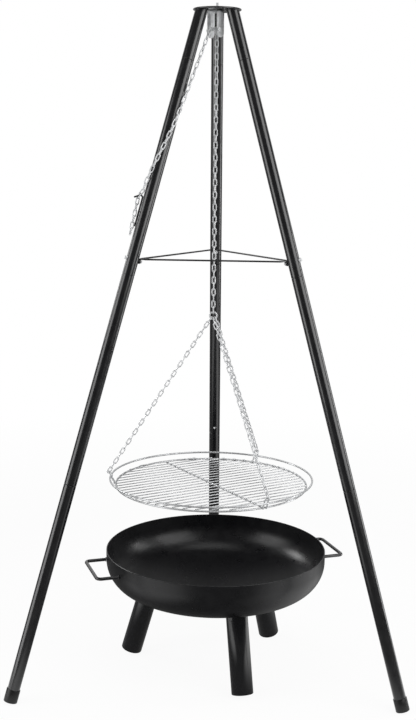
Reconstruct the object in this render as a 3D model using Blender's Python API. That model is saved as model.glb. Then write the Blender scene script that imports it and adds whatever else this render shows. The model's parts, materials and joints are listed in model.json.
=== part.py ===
"""Campfire tripod with a grate that hangs on a chain over a dished fire bowl.

Metres, +Z up. Everything is drawn about the tripod's own axis, with the back leg toward +Y and
the two front legs to the left and to the right of -Y. The whole is then moved so that the origin
is on the floor, in the middle of the tripod's footprint.
"""
import math

import bmesh
import bpy
from mathutils import Matrix, Vector

# Scene
COLLECTION = "campfire_tripod_grate"
CUTTERS = "cutters"
CREASE_ANGLE = math.radians(40.0)   # faces that meet at less than this are shaded as one
TOLERANCE = 1e-6
MOSTLY = 0.9                    # share of an edge's length along an axis that it is said to follow

# Origin
TRIPOD_AXIS_Y = -0.1448         # the tripod's axis in front of the middle of its footprint

# Fits
CLEARANCE = 0.0003              # gap between pieces that touch
HOLE_CLEARANCE = 0.0003         # gap round a bolt in its hole, on the radius
LOOSE_GAP = 0.0008              # gap where a link hangs in a ring or a loop

# Tripod legs
LEG_AZIMUTHS = {"back": 90.0, "left": 210.0, "right": 330.0}
LEG_LEAN = math.radians(17.0)
TUBE_DIA = 0.032
TUBE_WALL = 0.0015
STUB_LENGTH = 0.132
UPPER_TUBE_LENGTH = 0.5645
MIDDLE_TUBE_LENGTH = 0.5575
LOWER_TUBE_LENGTH = 0.5846      # from the floor to its shoulder, foot cap included
SPIGOT_LENGTH = 0.033
TUBE_SIDES = 10
FOOT_CAP_WALL = 0.0015
FOOT_CAP_LENGTH = 0.034
FOOT_CAP_FLOOR = 0.010
FOOT_CAP_FLAT = 0.0015          # how high the cap's lowest edge is levelled off
BUTTON_DIA = 0.006
BUTTON_ABOVE_SEAM = 0.021
BUTTON_PROUD = 0.0018

# Head
HEAD_DIA = 0.124
HEAD_THICKNESS = 0.004
HEAD_LEG_RADIUS = 0.045         # from the tripod's axis to a leg's axis, at the plate

# Chain bracket under the head
STRAP_WIDTH = 0.022
STRAP_THICKNESS = 0.0025
BRACKET_WIDTH = 0.042
BRACKET_DROP = 0.0675
BRACKET_BEND = 0.005
STRAP_END_FLAT = 0.001          # straight middle of the strap's round ends
BOLT_DIA = 0.006
BOLT_HEAD_FLATS = 0.010
BOLT_HEAD_HEIGHT = 0.004
NUT_HEIGHT = 0.005
HEAD_BOLT_PROUD = 0.015         # bolt end above the head plate
PIN_DROP = 0.0495               # from the plate's underside to the pin's axis
PIN_PROUD = 0.002               # pin end past its nut
CHAIN_SIDE_AZIMUTH = math.radians(219.0)   # the way the chain leaves the pin for the leg

# Chain
WIRE_DIA = 0.003
LINK_PITCH = 0.016
LINK_WIDTH = 0.011
LINK_BITE = 0.0003              # how far links sink into each other where they bear
LINK_SEGMENTS = 6
WIRE_DEPTH = 0.00285            # flat to corner of the three-sided wire, about as thick as a round one
LINK_PLAY = math.radians(4.0)   # every other link sits this much off square
HANGING_LINKS = 46
HANGING_UPPER_LINKS = 24        # of these, the ones drawn over the pin as the grate rises
SUSPENSION_LINKS = 32
TAIL_LINKS = 6                  # past the hook, the first of them held still in the hooked link

# Joining ring
RING_RADIUS = 0.0095            # to the middle of the wire
RING_WIRE_DIA = 0.004
RING_SLOTS = {"left": -132.0, "front": -86.0, "back": -48.0}   # where the grate's chains sit on it
RING_SEAT_DEPTH = 0.9           # about how deep they sit below its middle, as a share of its radius

# Grate
GRATE_AZIMUTHS = {"front": -57.5, "back": 62.5, "left": 182.5}
SUPPORT_AZIMUTH = math.radians(-57.5)
GRID_RADIUS = 0.2590
GRID_RING_DIA = 0.005
SUPPORT_BAR_DIA = 0.005
BAR_DIA = 0.003
BAR_PITCH = 0.022
BAR_COUNT = 23
BAR_SINK = 0.0006               # weld depth of a bar in what it lies on
RIM_RADIUS = 0.275
RIM_DIA = 0.005
RIM_RISE = 0.0157               # rim above the grid ring
HANGER_RISE = 0.0155            # top of a hanger above the rim
HANGER_WIRE_DIA = 0.004
HANGER_HALF_WIDTH = 0.0055
HANGER_LEAN = 0.009             # how far a hanger leans out over the rim
HOOP_SEGMENTS = 40
HOOP_SIDES = 5

# Spacer rods between the legs
SPACER_BELOW_SEAM = -0.041      # bolt along the leg, from the upper tube's lower end (negative is up)
SPACER_ROD_DIA = 0.0045
EYE_DIA = 0.014
EYE_THICKNESS = 0.0025
EYE_NECK_DIA = 0.0022
EYE_NECK_LENGTH = 0.012
EYE_NECK_ROOT = 0.001           # how far the neck reaches into the eye

# Hook on the left leg
HOOK_TURN = math.radians(-45.0)  # round the leg, from its outer side
HOOK_ROD_DIA = 0.0044
HOOK_ALONG = 1.3501              # along the leg, from the floor to the corner of the bend
HOOK_SHANK = 0.085
HOOK_ARM = 0.026
HOOK_ARM_DROOP = math.radians(30.0)
HOOK_BEND = 0.006
HOOK_LINK_OUT = 0.0115           # hooked link along the arm, from the corner
HOOK_LINK_PAST = 0.0014          # its middle below the arm
WRAP_END = math.radians(-14.0)   # where the chain leaves the leg for the hook
WRAP_START_ALONG = 1.6066
WRAP_END_ALONG = 1.3576
WRAP_SAG = 0.020                 # how far it hangs below the straight way round the leg
TAIL_TURN = math.radians(-22.0)  # where the tail hangs toward, beside the leg
TAIL_AIM_OUT = 0.0235
TAIL_AIM_DROP = 0.1024           # along the leg, below the corner of the hook

# Fire bowl
BOWL_X = 0.0150
BOWL_Y = 0.001
BOWL_DIA = 0.601
BOWL_WALL = 0.0025
BOWL_RIM_Z = 0.3288
BOWL_FLANGE = 0.027
BOWL_KNUCKLE = 0.084
BOWL_CROWN = 0.634
BOWL_SIDES = 32
BOWL_LEG_AZIMUTHS = {"front": -70.8, "back": 49.2, "left": 169.2}
BOWL_LEG_DIA = 0.0575
BOWL_LEG_WALL = 0.002
BOWL_LEG_INSET = 0.060          # the middle of a leg's end inside the bowl's outline
BOWL_LEG_SPLAY = math.radians(16.0)
BOWL_LEG_SIDES = 16
HANDLE_AZIMUTHS = {"right": 19.5, "left": 199.5}
HANDLE_ROD_DIA = 0.009
HANDLE_HALF_WIDTH = 0.0725
HANDLE_REACH = 0.058
HANDLE_BELOW_RIM = 0.031
HANDLE_BEND = 0.012

# Derived from the above
TUBE_RADIUS = TUBE_DIA / 2
LEG_LENGTH = LOWER_TUBE_LENGTH + MIDDLE_TUBE_LENGTH + UPPER_TUBE_LENGTH + STUB_LENGTH
FOOT_CAP_RADIUS = TUBE_DIA / 2 + CLEARANCE + FOOT_CAP_WALL
FOOT_EDGE_DROP = FOOT_CAP_RADIUS * math.cos(math.pi / TUBE_SIDES) * math.sin(LEG_LEAN)
FOOT_END = (FOOT_EDGE_DROP - FOOT_CAP_FLAT) / math.cos(LEG_LEAN)    # the cap's square end, along the leg
LOWER_SEAM = LOWER_TUBE_LENGTH
MIDDLE_SEAM = LOWER_SEAM + MIDDLE_TUBE_LENGTH
UPPER_SEAM = MIDDLE_SEAM + UPPER_TUBE_LENGTH
PLATE_BOTTOM = LEG_LENGTH * math.cos(LEG_LEAN)
PLATE_TOP = PLATE_BOTTOM + HEAD_THICKNESS
LEG_FOOT_RADIUS = HEAD_LEG_RADIUS + LEG_LENGTH * math.sin(LEG_LEAN)
SPACER_ALONG = MIDDLE_SEAM - SPACER_BELOW_SEAM
LINK_INNER_HALF = (LINK_PITCH - LINK_BITE) / 2                 # link's middle to the inside of its end
LINK_OUTER_HALF = LINK_INNER_HALF + WIRE_DEPTH
LINK_CORNER = math.pi / LINK_SEGMENTS                          # turn from a link's side to its first corner
LINK_OUTER_RADIUS = LINK_WIDTH / 2 / math.cos(LINK_CORNER)     # of the round end, at its corners
LINK_INNER_RADIUS = LINK_OUTER_RADIUS - WIRE_DEPTH
LINK_HALF_THICKNESS = WIRE_DEPTH * math.tan(math.pi / 6)
CHAIN_SIDE = Vector((math.cos(CHAIN_SIDE_AZIMUTH), math.sin(CHAIN_SIDE_AZIMUTH), 0.0))
PIN_AXIS = Vector((-CHAIN_SIDE.y, CHAIN_SIDE.x, 0.0))
SADDLE_REACH = LINK_OUTER_HALF - WIRE_DEPTH / 4                # link's middle to where the next link bears
PIN_CENTRE = CHAIN_SIDE * SADDLE_REACH + Vector((0.0, 0.0, PLATE_BOTTOM - PIN_DROP))
SADDLE_CENTRE = PIN_CENTRE + Vector((0.0, 0.0, BOLT_DIA / 2 + LINK_HALF_THICKNESS + CLEARANCE))
SADDLE_INNER_END = SADDLE_CENTRE - CHAIN_SIDE * SADDLE_REACH
SADDLE_OUTER_END = SADDLE_CENTRE + CHAIN_SIDE * SADDLE_REACH
DOWN = Vector((0.0, 0.0, -1.0))
UP = Vector((0.0, 0.0, 1.0))
SWING_LINK_CENTRE = SADDLE_INNER_END + DOWN * (LINK_INNER_HALF - LINK_HALF_THICKNESS - LOOSE_GAP)
LAST_LINK_CENTRE = SWING_LINK_CENTRE + DOWN * LINK_PITCH * (HANGING_LINKS - 1)
RING_WIRE_RADIUS = RING_WIRE_DIA / 2
RING_REACH = LINK_INNER_HALF - RING_WIRE_RADIUS - LOOSE_GAP
RING_CENTRE = LAST_LINK_CENTRE + DOWN * (RING_REACH + RING_RADIUS)
HANGER_REACH = LINK_INNER_HALF - HANGER_WIRE_DIA / 2 - LOOSE_GAP
HANGER_TOP_RADIUS = RIM_RADIUS - RIM_DIA / 2 - HANGER_WIRE_DIA / 2 - CLEARANCE + HANGER_LEAN
SUSPENSION_LENGTH = LINK_PITCH * (SUSPENSION_LINKS - 1) + RING_REACH + HANGER_REACH
SUSPENSION_TOP_Z = RING_CENTRE.z - RING_RADIUS * RING_SEAT_DEPTH
HANGER_TOP_Z = SUSPENSION_TOP_Z - math.sqrt(SUSPENSION_LENGTH ** 2 - HANGER_TOP_RADIUS ** 2)
RIM_Z = HANGER_TOP_Z - HANGER_RISE
GRID_Z = RIM_Z - RIM_RISE
BOWL_RADIUS = BOWL_DIA / 2
BOWL_LEG_FOOT_RADIUS = BOWL_RADIUS - BOWL_LEG_INSET
BOWL_CENTRE = Vector((BOWL_X, BOWL_Y, 0.0))


def clear_scene():
    """Empty the file this runs in."""
    for item in list(bpy.data.objects):
        bpy.data.objects.remove(item, do_unlink=True)


def make_collections():
    """A collection for the parts, where new objects go, and one for the cutters."""
    for name in (CUTTERS, COLLECTION):
        collection = bpy.data.collections.get(name) or bpy.data.collections.new(name)
        if name not in bpy.context.scene.collection.children:
            bpy.context.scene.collection.children.link(collection)
    layers = bpy.context.view_layer.layer_collection.children
    bpy.context.view_layer.active_layer_collection = layers[COLLECTION]


def make_material(name, colour, roughness, metallic):
    """A Principled BSDF with one colour."""
    material = bpy.data.materials.new(name)
    material.use_nodes = True
    shader = material.node_tree.nodes["Principled BSDF"]
    shader.inputs["Base Color"].default_value = (*colour, 1.0)
    shader.inputs["Roughness"].default_value = roughness
    shader.inputs["Metallic"].default_value = metallic
    return material


def polar(radius, azimuth, z=0.0):
    """A point at a radius and azimuth, in radians."""
    return Vector((radius * math.cos(azimuth), radius * math.sin(azimuth), z))


def axes(origin, x_axis, z_axis):
    """A frame at origin, from its Z axis and roughly its X axis."""
    z_axis = z_axis.normalized()
    y_axis = z_axis.cross(x_axis).normalized()
    x_axis = y_axis.cross(z_axis)
    matrix = Matrix((x_axis, y_axis, z_axis)).transposed().to_4x4()
    matrix.translation = origin
    return matrix


def leg_frame(azimuth_deg):
    """A leg's frame: Z up along the leg from the floor, X to its outer side."""
    outward = polar(1.0, math.radians(azimuth_deg))
    along = UP * math.cos(LEG_LEAN) - outward * math.sin(LEG_LEAN)
    return axes(outward * LEG_FOOT_RADIUS, outward, along)


def finish_mesh(bm, name):
    """Weld, turn the faces outward and make the mesh."""
    bmesh.ops.remove_doubles(bm, verts=bm.verts, dist=1e-7)
    bmesh.ops.recalc_face_normals(bm, faces=bm.faces)
    mesh = bpy.data.meshes.new(name)
    bm.to_mesh(mesh)
    bm.free()
    return mesh


def add_object(name, mesh, material, frame=Matrix.Identity(4)):
    """Put a mesh in the scene as a named object in a frame."""
    item = bpy.data.objects.new(name, mesh)
    bpy.context.collection.objects.link(item)
    item.matrix_world = frame
    mesh.materials.clear()
    mesh.materials.append(material)
    return item


def combine(target, tool, operation):
    """Apply a Boolean of two objects to the first one and remove the second."""
    bpy.data.collections[COLLECTION].objects.unlink(tool)
    bpy.data.collections[CUTTERS].objects.link(tool)
    modifier = target.modifiers.new("shape", "BOOLEAN")
    modifier.operation = operation
    modifier.solver = "EXACT"
    modifier.object = tool
    bpy.context.view_layer.update()
    evaluated = target.evaluated_get(bpy.context.evaluated_depsgraph_get())
    mesh = bpy.data.meshes.new_from_object(evaluated)
    target.modifiers.clear()
    target.data = mesh
    bpy.data.objects.remove(tool, do_unlink=True)
    return target


def lathe(name, profile, sides, material, frame=Matrix.Identity(4), closed=True):
    """Turn a profile of (radius, z) points about the frame's Z axis, with a flat side toward X."""
    bm = bmesh.new()
    points = [bm.verts.new(polar(radius, math.pi / sides, z)) for radius, z in profile]
    edges = [bm.edges.new(pair) for pair in zip(points, points[1:])]
    if closed:
        edges.append(bm.edges.new((points[-1], points[0])))
    bmesh.ops.spin(bm, geom=points + edges, cent=(0, 0, 0), axis=(0, 0, 1), angle=math.tau,
                   steps=sides, use_merge=True, use_duplicate=False)
    return add_object(name, finish_mesh(bm, name), material, frame)


def cylinder(name, radius, length, sides, material, frame=Matrix.Identity(4)):
    """A cylinder from the frame's origin up its Z axis."""
    bm = bmesh.new()
    bmesh.ops.create_cone(bm, cap_ends=True, segments=sides, radius1=radius, radius2=radius,
                          depth=length, matrix=Matrix.Translation((0, 0, length / 2)))
    return add_object(name, finish_mesh(bm, name), material, frame)


def torus(name, radius, wire_radius, segments, sides, material, frame=Matrix.Identity(4)):
    """A ring about the frame's Z axis."""
    bpy.ops.mesh.primitive_torus_add(major_segments=segments, minor_segments=sides,
                                     major_radius=radius, minor_radius=wire_radius)
    item = bpy.context.object
    item.name = name
    item.matrix_world = frame
    item.data.materials.clear()
    item.data.materials.append(material)
    return item


def rounded(points, bend, steps=4):
    """A path with its inner corners turned into arcs of one bend radius."""
    path = [points[0]]
    for before, corner, after in zip(points, points[1:], points[2:]):
        arriving = (before - corner).normalized()
        leaving = (after - corner).normalized()
        half = arriving.angle(leaving) / 2
        centre = corner + (arriving + leaving).normalized() * bend / math.sin(half)
        start = corner + arriving * bend / math.tan(half) - centre
        end = corner + leaving * bend / math.tan(half) - centre
        for step in range(steps + 1):
            path.append(centre + start.slerp(end, step / steps).normalized() * bend)
    path.append(points[-1])
    return path


def rod(name, path, radius, material, smoothness=1, radii=None):
    """A round rod along a path, as a bevelled curve turned into a mesh."""
    curve = bpy.data.curves.new(name, "CURVE")
    curve.dimensions = "3D"
    curve.bevel_depth = radius
    curve.bevel_resolution = smoothness
    curve.use_fill_caps = True
    spline = curve.splines.new("POLY")
    spline.points.add(len(path) - 1)
    for index, point in enumerate(path):
        spline.points[index].co = (*point, 1.0)
        spline.points[index].radius = radii[index] if radii else 1.0
    holder = bpy.data.objects.new(name + "_path", curve)
    bpy.context.collection.objects.link(holder)
    bpy.context.view_layer.update()
    drawn = bpy.data.meshes.new_from_object(holder.evaluated_get(bpy.context.evaluated_depsgraph_get()))
    bpy.data.objects.remove(holder, do_unlink=True)
    bm = bmesh.new()
    bm.from_mesh(drawn)
    return add_object(name, finish_mesh(bm, name), material)


def hex_nut(name, hole_radius, height, material, frame):
    """A hexagon nut on the frame's Z axis."""
    nut = cylinder(name, BOLT_HEAD_FLATS / math.sqrt(3), height, 6, material, frame)
    lift = Matrix.Translation((0, 0, -height / 2))
    return combine(nut, cylinder("bore", hole_radius, height * 2, 10, material, frame @ lift), "DIFFERENCE")


def hex_bolt(name, shank_length, material, frame):
    """A hexagon bolt whose shank starts at the frame's origin and whose head is below it."""
    lift = Matrix.Translation((0, 0, -BOLT_HEAD_HEIGHT))
    bolt = cylinder(name, BOLT_HEAD_FLATS / math.sqrt(3), BOLT_HEAD_HEIGHT, 6, material, frame @ lift)
    sink = BOLT_HEAD_HEIGHT / 2
    root = Matrix.Translation((0, 0, -sink))
    shank = cylinder("shank", BOLT_DIA / 2, shank_length + sink, 10, material, frame @ root)
    return combine(bolt, shank, "UNION")


def cut_level(item, at_z, level):
    """Slide a ring of a leg's vertices along the leg to a level height, for a mitred end."""
    for vertex in item.data.vertices:
        if abs(vertex.co.z - at_z) < TOLERANCE:
            vertex.co.z = (level - vertex.co.x * math.sin(LEG_LEAN)) / math.cos(LEG_LEAN)


def leg_tube(name, bottom, shoulder, material, frame):
    """A tube with a narrowed spigot on top, which plugs into the tube above."""
    outer = TUBE_RADIUS
    inner = TUBE_RADIUS - TUBE_WALL
    spigot = inner - CLEARANCE
    throat = spigot - TUBE_WALL
    profile = [(outer, bottom), (outer, shoulder), (spigot, shoulder), (spigot, shoulder + SPIGOT_LENGTH),
               (throat, shoulder + SPIGOT_LENGTH), (throat, shoulder - TUBE_WALL),
               (inner, shoulder - 3 * TUBE_WALL), (inner, bottom)]
    return lathe(name, profile, TUBE_SIDES, material, frame)


def across_leg(frame, along, turn, start):
    """A frame across a leg: Z points out of the leg at a turn about it, from a distance to its axis."""
    outward = (frame.to_3x3() @ Vector((math.cos(turn), math.sin(turn), 0.0))).normalized()
    up_leg = frame.to_3x3() @ UP
    origin = frame @ Vector((0.0, 0.0, along)) + outward * start
    return axes(origin, up_leg, outward)


def build_leg(side, azimuth_deg, black, zinc, rubber):
    """One leg: welded stub, three plug-in tubes, their snap buttons and the foot cap."""
    frame = leg_frame(azimuth_deg)
    inner = TUBE_RADIUS - TUBE_WALL
    stub_bottom = UPPER_SEAM + CLEARANCE
    stub = lathe("head_stub_" + side, [(TUBE_RADIUS, stub_bottom), (TUBE_RADIUS, LEG_LENGTH),
                                       (inner, LEG_LENGTH), (inner, stub_bottom)],
                 TUBE_SIDES, black, frame)
    cut_level(stub, LEG_LENGTH, PLATE_BOTTOM - CLEARANCE)
    upper = leg_tube("leg_upper_tube_" + side, MIDDLE_SEAM + CLEARANCE, UPPER_SEAM, black, frame)
    middle = leg_tube("leg_middle_tube_" + side, LOWER_SEAM + CLEARANCE, MIDDLE_SEAM, black, frame)
    leg_tube("leg_lower_tube_" + side, FOOT_END + FOOT_CAP_FLOOR + CLEARANCE, LOWER_SEAM, black, frame)
    bolt_hole = across_leg(frame, SPACER_ALONG, 0.0, -2 * TUBE_RADIUS)
    combine(upper, cylinder("hole", BOLT_DIA / 2 + HOLE_CLEARANCE, 4 * TUBE_RADIUS, 10, black, bolt_hole),
            "DIFFERENCE")
    for tube, seam, level in ((upper, MIDDLE_SEAM, "upper"), (middle, LOWER_SEAM, "lower")):
        seat = across_leg(frame, seam + BUTTON_ABOVE_SEAM, math.pi, inner)
        combine(tube, cylinder("hole", BUTTON_DIA / 2 + HOLE_CLEARANCE, TUBE_RADIUS, 10, black, seat),
                "DIFFERENCE")
        proud = TUBE_WALL + BUTTON_PROUD
        lathe("snap_button_" + level + "_" + side,
              [(0.0, 0.0), (BUTTON_DIA / 2, 0.0), (BUTTON_DIA / 2, TUBE_WALL), (0.0, proud)],
              8, zinc, seat, closed=False)
    cap_inner = TUBE_RADIUS + CLEARANCE
    cap_top = FOOT_END + FOOT_CAP_LENGTH
    cap_floor = FOOT_END + FOOT_CAP_FLOOR
    cap = lathe("foot_cap_" + side,
                [(0.0, FOOT_END), (FOOT_CAP_RADIUS, FOOT_END), (FOOT_CAP_RADIUS, cap_top), (cap_inner, cap_top),
                 (cap_inner, cap_floor), (0.0, cap_floor)], TUBE_SIDES, rubber, frame, closed=False)
    depth = 4 * FOOT_CAP_RADIUS
    below = Matrix.Translation(frame.translation - UP * depth)
    combine(cap, cylinder("ground", depth, depth, 8, rubber, below), "DIFFERENCE")


def build_head(black, zinc):
    """The round plate, the strap bracket under it, and the bolts that hold them."""
    bore = BOLT_DIA / 2 + HOLE_CLEARANCE
    lathe("head_plate", [(bore, PLATE_BOTTOM), (HEAD_DIA / 2, PLATE_BOTTOM), (HEAD_DIA / 2, PLATE_TOP),
                         (bore, PLATE_TOP)], 24, black)
    base_top = PLATE_BOTTOM - CLEARANCE
    strap_middle = PIN_CENTRE - CHAIN_SIDE * SADDLE_REACH / 2       # halfway between the bolt and the pin
    frame = axes(Vector((strap_middle.x, strap_middle.y, base_top)), PIN_AXIS, UP)
    half = BRACKET_WIDTH / 2
    inside = half - STRAP_THICKNESS
    outline = [(-half, -BRACKET_DROP), (-half, 0.0), (half, 0.0), (half, -BRACKET_DROP),
               (inside, -BRACKET_DROP), (inside, -STRAP_THICKNESS),
               (-inside, -STRAP_THICKNESS), (-inside, -BRACKET_DROP)]
    bm = bmesh.new()
    face = bm.faces.new([bm.verts.new((x, -STRAP_WIDTH / 2, z)) for x, z in outline])
    grown = bmesh.ops.extrude_face_region(bm, geom=[face])["geom"]
    moved = [item for item in grown if isinstance(item, bmesh.types.BMVert)]
    bmesh.ops.translate(bm, verts=moved, vec=(0.0, STRAP_WIDTH, 0.0))
    bmesh.ops.recalc_face_normals(bm, faces=bm.faces)

    def edges_along(axis_index, test):
        chosen = []
        for edge in bm.edges:
            ends = [vertex.co for vertex in edge.verts]
            way = ends[1] - ends[0]
            runs = abs(way[axis_index]) > MOSTLY * way.length
            if runs and all(test(end) for end in ends):
                chosen.append(edge)
        return chosen

    bmesh.ops.bevel(bm, geom=edges_along(0, lambda end: end.z < -BRACKET_DROP + TOLERANCE),
                    offset=(STRAP_WIDTH - STRAP_END_FLAT) / 2, segments=4, profile=0.5, affect="EDGES")
    bmesh.ops.bevel(bm, geom=edges_along(1, lambda end: end.z > -TOLERANCE),
                    offset=BRACKET_BEND, segments=3, profile=0.5, affect="EDGES")
    bmesh.ops.bevel(bm, geom=edges_along(1, lambda end: abs(end.z + STRAP_THICKNESS) < TOLERANCE),
                    offset=BRACKET_BEND - STRAP_THICKNESS, segments=3, profile=0.5, affect="EDGES")
    bracket = add_object("chain_bracket", finish_mesh(bm, "chain_bracket"), zinc, frame)
    pin_start = PIN_CENTRE - PIN_AXIS * BRACKET_WIDTH
    combine(bracket, cylinder("hole", bore, BRACKET_WIDTH * 2, 10, zinc, axes(pin_start, UP, PIN_AXIS)),
            "DIFFERENCE")
    bolt_start = base_top - STRAP_THICKNESS - CLEARANCE
    shank = PLATE_TOP + HEAD_BOLT_PROUD - bolt_start
    below = Matrix.Translation((0.0, 0.0, base_top - 2 * STRAP_THICKNESS))
    combine(bracket, cylinder("hole", bore, 4 * STRAP_THICKNESS, 10, zinc, below), "DIFFERENCE")
    hex_bolt("bracket_bolt", shank, zinc, Matrix.Translation((0.0, 0.0, bolt_start)))
    hex_nut("bracket_nut", bore, NUT_HEIGHT, zinc, Matrix.Translation((0.0, 0.0, PLATE_TOP + CLEARANCE)))
    pin_seat = half + CLEARANCE
    pin_shank = 2 * pin_seat + CLEARANCE + NUT_HEIGHT + PIN_PROUD
    hex_bolt("chain_pin", pin_shank, zinc, axes(PIN_CENTRE - PIN_AXIS * pin_seat, UP, PIN_AXIS))
    hex_nut("chain_pin_nut", bore, NUT_HEIGHT, zinc, axes(PIN_CENTRE + PIN_AXIS * pin_seat, UP, PIN_AXIS))


def build_spacers(black, zinc):
    """Three rods with eyes that tie the legs together, and the bolts through the legs."""
    bore = BOLT_DIA / 2 + HOLE_CLEARANCE
    first_layer = TUBE_RADIUS + CLEARANCE
    second_layer = first_layer + EYE_THICKNESS + CLEARANCE
    head_seat = second_layer + EYE_THICKNESS + CLEARANCE
    names = list(LEG_AZIMUTHS)
    for index, side in enumerate(names):
        frame = leg_frame(LEG_AZIMUTHS[side])
        through = head_seat + TUBE_RADIUS + CLEARANCE + NUT_HEIGHT + PIN_PROUD
        inward = across_leg(frame, SPACER_ALONG, math.pi, head_seat)
        outward = axes(inward.translation, inward.to_3x3() @ Vector((1, 0, 0)), -(inward.to_3x3() @ UP))
        hex_bolt("spacer_bolt_" + side, through, zinc, outward)
        hex_nut("spacer_nut_" + side, bore, NUT_HEIGHT, zinc,
                across_leg(frame, SPACER_ALONG, 0.0, TUBE_RADIUS + CLEARANCE))
        other = names[(index + 1) % len(names)]
        other_frame = leg_frame(LEG_AZIMUTHS[other])
        seats = [across_leg(frame, SPACER_ALONG, math.pi, first_layer),
                 across_leg(other_frame, SPACER_ALONG, math.pi, second_layer)]
        middles = [seat @ Vector((0.0, 0.0, EYE_THICKNESS / 2)) for seat in seats]
        path = []
        for seat, middle, target in ((seats[0], middles[0], middles[1]), (seats[1], middles[1], middles[0])):
            face = seat.to_3x3() @ UP
            toward = (target - middle).normalized()
            flat = (toward - face * toward.dot(face)).normalized()
            start = middle + flat * (EYE_DIA / 2 - EYE_NECK_ROOT)
            neck = middle + flat * (EYE_DIA / 2 + EYE_NECK_LENGTH / 3)
            path.append([start, neck, neck + toward * EYE_NECK_LENGTH])
        thin = EYE_NECK_DIA / SPACER_ROD_DIA
        line = path[0] + path[1][::-1]
        bar = rod("spacer_rod_" + side + "_" + other, line, SPACER_ROD_DIA / 2, black, 1,
                  [thin, thin, 1.0, 1.0, thin, thin])
        for seat in seats:
            eye = lathe("eye", [(bore, 0.0), (EYE_DIA / 2, 0.0), (EYE_DIA / 2, EYE_THICKNESS),
                                (bore, EYE_THICKNESS)], 12, black, seat)
            combine(bar, eye, "UNION")


def link_template(material):
    """One chain link along Y, in its XY plane: a ring of three-sided wire drawn out to the link's length."""
    link = lathe("link", [(LINK_INNER_RADIUS, 0.0), (LINK_OUTER_RADIUS, LINK_HALF_THICKNESS),
                          (LINK_OUTER_RADIUS, -LINK_HALF_THICKNESS)], LINK_SEGMENTS, material)
    for vertex in link.data.vertices:
        vertex.co.y += math.copysign(LINK_OUTER_HALF - LINK_OUTER_RADIUS, vertex.co.y)
    mesh = link.data
    bpy.data.objects.remove(link, do_unlink=True)
    return mesh


def chain(name, stations, material):
    """Links at (centre, direction, normal) stations, joined where each bears on the next."""
    template = link_template(material)
    groups = [bmesh.new(), bmesh.new()]
    for index, (centre, direction, normal) in enumerate(stations):
        bm = groups[index % 2]
        before = len(bm.verts)
        bm.from_mesh(template)
        bm.verts.ensure_lookup_table()
        place = axes(centre, direction.cross(normal), normal)
        bmesh.ops.transform(bm, matrix=place, verts=bm.verts[before:])
    links = add_object(name, finish_mesh(groups[0], name), material)
    if len(stations) > 1:
        combine(links, add_object("other_links", finish_mesh(groups[1], "other_links"), material), "UNION")
    else:
        groups[1].free()
    return links


def along_path(path, distance):
    """The point and direction at a distance along a path of points."""
    for start, end in zip(path, path[1:]):
        length = (end - start).length
        if distance <= length or end is path[-1]:
            return start + (end - start) * (distance / length), (end - start).normalized()
        distance -= length


def path_length(path):
    return sum((end - start).length for start, end in zip(path, path[1:]))


def run_of_links(path, first, last, count, first_normal, last_normal):
    """Stations of links spread evenly along a path, turned a quarter from one to the next.

    first and last are the distances of the first and last centres. The turn that is left over
    between the two given normals is shared by all the links.
    """
    places = [along_path(path, first + (last - first) * index / (count - 1)) for index in range(count)]
    normals = []
    normal = first_normal
    for place, direction in places:
        normal = (normal - direction * normal.dot(direction)).normalized()
        normals.append(normal)
    end_direction = places[-1][1]
    wanted = (last_normal - end_direction * last_normal.dot(end_direction)).normalized()
    reached = Matrix.Rotation(math.pi / 2 * (count - 1), 3, end_direction) @ normals[-1]
    extra = math.atan2(reached.cross(wanted).dot(end_direction), reached.dot(wanted))
    extra = (extra + math.pi / 2) % math.pi - math.pi / 2
    stations = []
    for index, (place, direction) in enumerate(places):
        inner = 0 < index < count - 1
        turn = math.pi / 2 * index + extra * index / (count - 1)
        turn += LINK_PLAY if inner and index % 2 else 0.0
        stations.append((place, direction, Matrix.Rotation(turn, 3, direction) @ normals[index]))
    return stations


def with_play(stations):
    """Links drawn together a little, so that the first of them is clear of the link before it."""
    raised = LINK_BITE + CLEARANCE
    last = len(stations) - 1
    return [(centre - direction * raised * (1 - index / last), direction, normal)
            for index, (centre, direction, normal) in enumerate(stations)]


def on_leg(frame, turn, out, along):
    """A point beside a leg, at a turn about its axis and a distance from it."""
    return frame @ Vector((out * math.cos(turn), out * math.sin(turn), along))


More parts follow.
